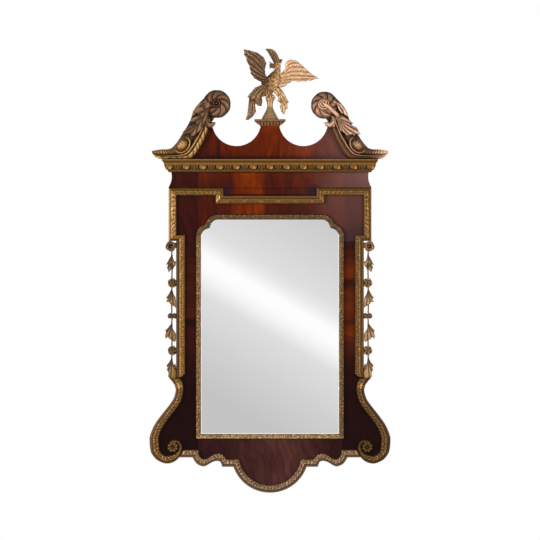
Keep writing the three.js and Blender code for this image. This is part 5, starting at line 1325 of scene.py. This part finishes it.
def sweep(flat):
    """Wings and plumes are carved in a gentle curve, hollow towards their tips."""
    return 4.0 * np.sin(np.clip(np.abs(flat[:, 0] - 5) / 110, 0, 1) * np.pi)


for name, (outline, ribs) in FEATHERED.items():
    points, faces, wear_and_light = relief(*set_out(outline, ribs, (0, PERCH), steps=12), FEATHER_BACK, 11, step=1.5,
                                edge=3.4, groove=7, cut=2.6, ridge=0.5, curl=sweep, hollow=0.45)
    # short overlapping feathers, drawn 9 mm long so that they show
    front = points[:, 1] < FEATHER_BACK - 4
    struck = punched(points[:, 0] + 0.4 * points[:, 2], points[:, 2] - 0.5 * points[:, 0], 8.5, 5)
    wave = points[:, 0] * 0.9 + points[:, 2] * 0.55 + 2.5 * np.sin(points[:, 2] * 0.12)
    barb = 0.5 + 0.5 * np.sin(wave * 1.2)
    points[:, 1] -= np.where(front, 0.5 * barb + 1.3 * struck, 0)
    wear_and_light = np.clip(0.16 + wear_and_light * 0.75 + np.where(front, 0.16 * (barb - 0.5) + 0.34 * struck, 0), 0, 1)
    make(name.replace("phoenix", "carved"), (points, faces, wear_and_light), wing_gilt[name], name, "finial")

TUFTS = {
    "throat": (
        ((17, 113), (10, 108), (4, 111), (-3, 115), (0, 107), (-4, 101), (0, 97), (-3, 90), (5, 94),
         (12, 91), (18, 97)),
        (((17, 106), (6, 106), (-3, 114)), ((17, 102), (8, 100), (-3, 101)), ((17, 98), (8, 96), (-2, 91)))),
    "crest": (
        ((24, 128), (31, 123), (36, 123), (42.5, 121), (38, 115), (39, 108), (33, 112), (35, 103),
         (28, 108), (24, 115)),
        (((24, 124), (33, 121), (42, 121)), ((25, 118), (32, 114), (35, 104)))),
}
for name, (outline, ribs) in TUFTS.items():
    tuft = relief(*set_out(outline, ribs, (0, PERCH)), FINIAL_Y + 3, 8, step=1.3, edge=2.5, groove=4, cut=3,
                  ridge=0.6)
    make(name + "_tuft", tuft, wing_gilt["phoenix_tail"], body="finial")

# ------------------------------------------------------------------ garlands
# A wired garland of leaves and flowers hangs beside each upright, from a curled bud
# under the ear to the horn of the scroll. Each length is carved and gilt, on iron wire.

STEM_X, GARLAND_BACK, GARLAND_T = 324.3, -30.3, 14
WIRE_Y = GARLAND_BACK - 7
LEAF_TOPS = (-169.65, -291.15, -397.35, -511)
BLOSSOM_Z = (-273.6, -383.4, -496.8)
BUD = (329.5, -152.55)
LEAF_IN = -13.5
LEAVES = (
    (((1, 0), (3, -15), (10, -27), (20, -45), (12, -42), (16, -53), (10, -69), (1, -58), (-4, -60),
      (-6, -53), (-12, -47), (LEAF_IN, -33), (-8, -32), (-4, -22), (-1, 0)),
     (((0, -4), (4, -26), (19, -44)), ((0, -10), (4, -40), (10, -67)), ((2, -44), (10, -46), (15, -53)),
      ((0, -14), (-5, -34), (-11, -46)))),
    (((1, 0), (4, -8), (11, -21), (19, -31), (14, -35), (19, -46), (9, -45), (6, -52), (-2, -58),
      (-6, -58), (LEAF_IN, -65), (LEAF_IN, -48), (-12, -30), (-6, -21), (-3, -10), (-1, 0)),
     (((0, -4), (6, -20), (18, -31)), ((0, -8), (6, -32), (18, -45)), ((-1, -10), (0, -36), (0, -57)),
      ((-2, -12), (-7, -36), (-13, -62)))),
    (((1, 0), (3, -12), (13, -25), (22, -33), (19, -40), (23, -51), (20, -61), (14, -54), (7, -62),
      (0, -65), (-10, -72), (LEAF_IN, -64), (LEAF_IN, -45), (-9, -37), (-4, -30), (-1, -18), (-1, 0)),
     (((0, -6), (8, -24), (21, -35)), ((0, -10), (9, -36), (21, -58)), ((-1, -14), (2, -40), (5, -62)),
      ((-2, -16), (-6, -44), (-11, -70)))),
    (((1, 0), (2, -12), (9, -25), (18, -35), (14, -42), (17, -51), (13, -53), (11, -63), (13, -72),
      (2, -78), (-14, -78), (-15, -62), (LEAF_IN, -35), (-10, -29), (-6, -34), (-3, -22), (-1, 0)),
     (((0, -6), (8, -24), (17, -36)), ((0, -10), (8, -36), (16, -50)), ((0, -14), (4, -44), (11, -69)),
      ((-1, -16), (-3, -46), (-5, -72)), ((-2, -18), (-9, -28), (-13, -38)))),
)
PODS = ((((-9, -37), (4.6, 4.6)),), (), (((-7, -50), (5.5, 9)),), (((-9, -44), (4, 5.5)),
                                                                   ((1, -66), (6, 4.5))))
garland_gilt = {
    "left": gilding("worn gilding on the left garland", "#1c1107", "#503819", "#94703f", "#5e3a26", 0.3),
    "right": gilding("worn gilding on the right garland", "#24160a", "#684c2a", "#bc9464", "#784a32", 0.35),
}
for name, side in SIDES:
    for i, (outline, ribs) in enumerate(LEAVES):
        top = LEAF_TOPS[i]
        head = BUD[1] if i == 0 else BLOSSOM_Z[i - 1]
        foot = BLOSSOM_Z[i] + 10 if i < 3 else top - 40
        parts = [relief(*set_out(outline, ribs, (STEM_X, top), side, 8), GARLAND_BACK - 1, 11.5, step=1.4,
                        edge=3.4, groove=8, cut=2.2, ridge=0.4, hollow=0.5, line=0.08)]
        stem = side * STEM_X
        flower = (side * (STEM_X - 2), head)
        bow = 2.0 * side * (1 if i % 2 else -1)
        wire = [(stem, WIRE_Y, head), (stem + bow, WIRE_Y, (head + top) / 2), (stem, WIRE_Y, top),
                (stem + bow * 0.4, WIRE_Y + 3, (top + foot) / 2), (stem, WIRE_Y, foot)]
        parts.append(tube(wire, [2.3, 2.3], 10, 1.0, 0.4))
        if i == 0:
            bud = (side * (BUD[0] - 1.5), BUD[1])
            parts.append(blossom(bud, 17.5, GARLAND_BACK, 14, 4, 0.1, side * 4.2, 0.3, 18, 12))
            parts.append(dome((side * 311.8, BUD[1] + 3), (6.4, 9), 0, GARLAND_BACK, 12, 0.2))
        elif i == 2:  # the middle flower is a bow of two round petals
            for shift in (-7.4, 7.4):
                parts.append(dome((flower[0] + shift, head + 1),
                                  (8.4, 9.6), shift * 4, GARLAND_BACK, 12.5, 0.3))
            parts.append(dome((stem, head), (4, 5), 0, GARLAND_BACK, 14, 0.1))
        else:
            parts.append(blossom(flower, 16, GARLAND_BACK, 11.5, 5, 0.14, side * 0.8, 0.42, 14, 10))
            parts.append(blossom(flower, 8.6, GARLAND_BACK - 8.5, 5.4, 4, 0.2, side * 2.2, 0.3, 9, 8))
        for place, half in PODS[i]:
            pod = (side * (STEM_X + place[0]), top + place[1])
            parts.append(dome(pod, half, 0, GARLAND_BACK - 6, 7.6, 0.15))
        points, faces, wear_and_light = joined(*parts)
        points[:, 1] = np.maximum(points[:, 1], GARLAND_BACK - GARLAND_T)
        make(f"garland_{name}_length_{i + 1}", (points, faces, wear_and_light), garland_gilt[name],
             f"garland_{name}_{i + 1}")

# ------------------------------------------------------------------ back
# Backboard, beads and battens of plain softwood, planed and left bare, browned with age.
# The boards stand with their grain upright and the battens run across.


def deal_wood(name, angle):
    """Bare old softwood: dark growth lines about 5 mm apart in a pale brown ground."""
    material, tree, shader = finish(name)
    place = add_node(tree, "TexCoord").outputs["Object"]
    tree.links.new(deal_colour(tree, place, angle), shader.inputs["Base Color"])
    rough = add_node(tree, "TexNoise", {"Vector": place, "Scale": 320.0, "Detail": 3.0})
    bump = add_node(tree, "Bump", {"Height": rough.outputs[0], "Strength": 0.25, "Distance": 0.0005})
    tree.links.new(bump.outputs[0], shader.inputs["Normal"])
    shader.inputs["Roughness"].default_value = 0.78
    shader.inputs["Specular IOR Level"].default_value = 0.3
    return material


upright_deal = deal_wood("bare softwood, grain upright", 2)
cross_deal = deal_wood("bare softwood, grain across", 89)
dress(upright_deal, "backboard", "glass_bead_left", "glass_bead_right", "crest_batten_left",
      "crest_batten_right")
dress(cross_deal, "glass_bead_top", "glass_bead_bottom", "cross_batten", "apron_batten")

# ------------------------------------------------------------------ hangers
# Two D-rings of brass wire, each held by a brass strap folded round its straight bar and
# one slotted steel screw.


def old_metal(name, dark, bright, gloss, scale):
    """Plain metal dulled by handling: soft darker clouds and a faint grain."""
    material, tree, shader = finish(name)
    place = add_node(tree, "TexCoord").outputs["Object"]
    cloud = add_node(tree, "TexNoise", {"Vector": place, "Scale": scale, "Detail": 5.0, "Roughness": 0.6})
    colour = add_node(tree, "ValToRGB", {0: cloud.outputs[0]}, [(0.3, dark), (0.65, bright)])
    tree.links.new(colour.outputs[0], shader.inputs["Base Color"])
    dull = add_node(tree, "MapRange", {"Value": cloud.outputs[0], "To Min": gloss + 0.2, "To Max": gloss})
    tree.links.new(dull.outputs[0], shader.inputs["Roughness"])
    grain = add_node(tree, "TexNoise", {"Vector": place, "Scale": 1400.0, "Detail": 2.0})
    bump = add_node(tree, "Bump", {"Height": grain.outputs[0], "Strength": 0.15, "Distance": 0.0002})
    tree.links.new(bump.outputs[0], shader.inputs["Normal"])
    shader.inputs["Metallic"].default_value = 1.0
    return material


brass = old_metal("pressed brass, dulled", "#6e5424", "#b08f48", 0.3, 160)
steel = old_metal("zinc-plated steel", "#6f7275", "#a9adb0", 0.34, 300)
for name, _ in SIDES:
    dress(brass, "hanger_strap_" + name, "hanger_ring_" + name)
    dress(steel, "hanger_screw_" + name)
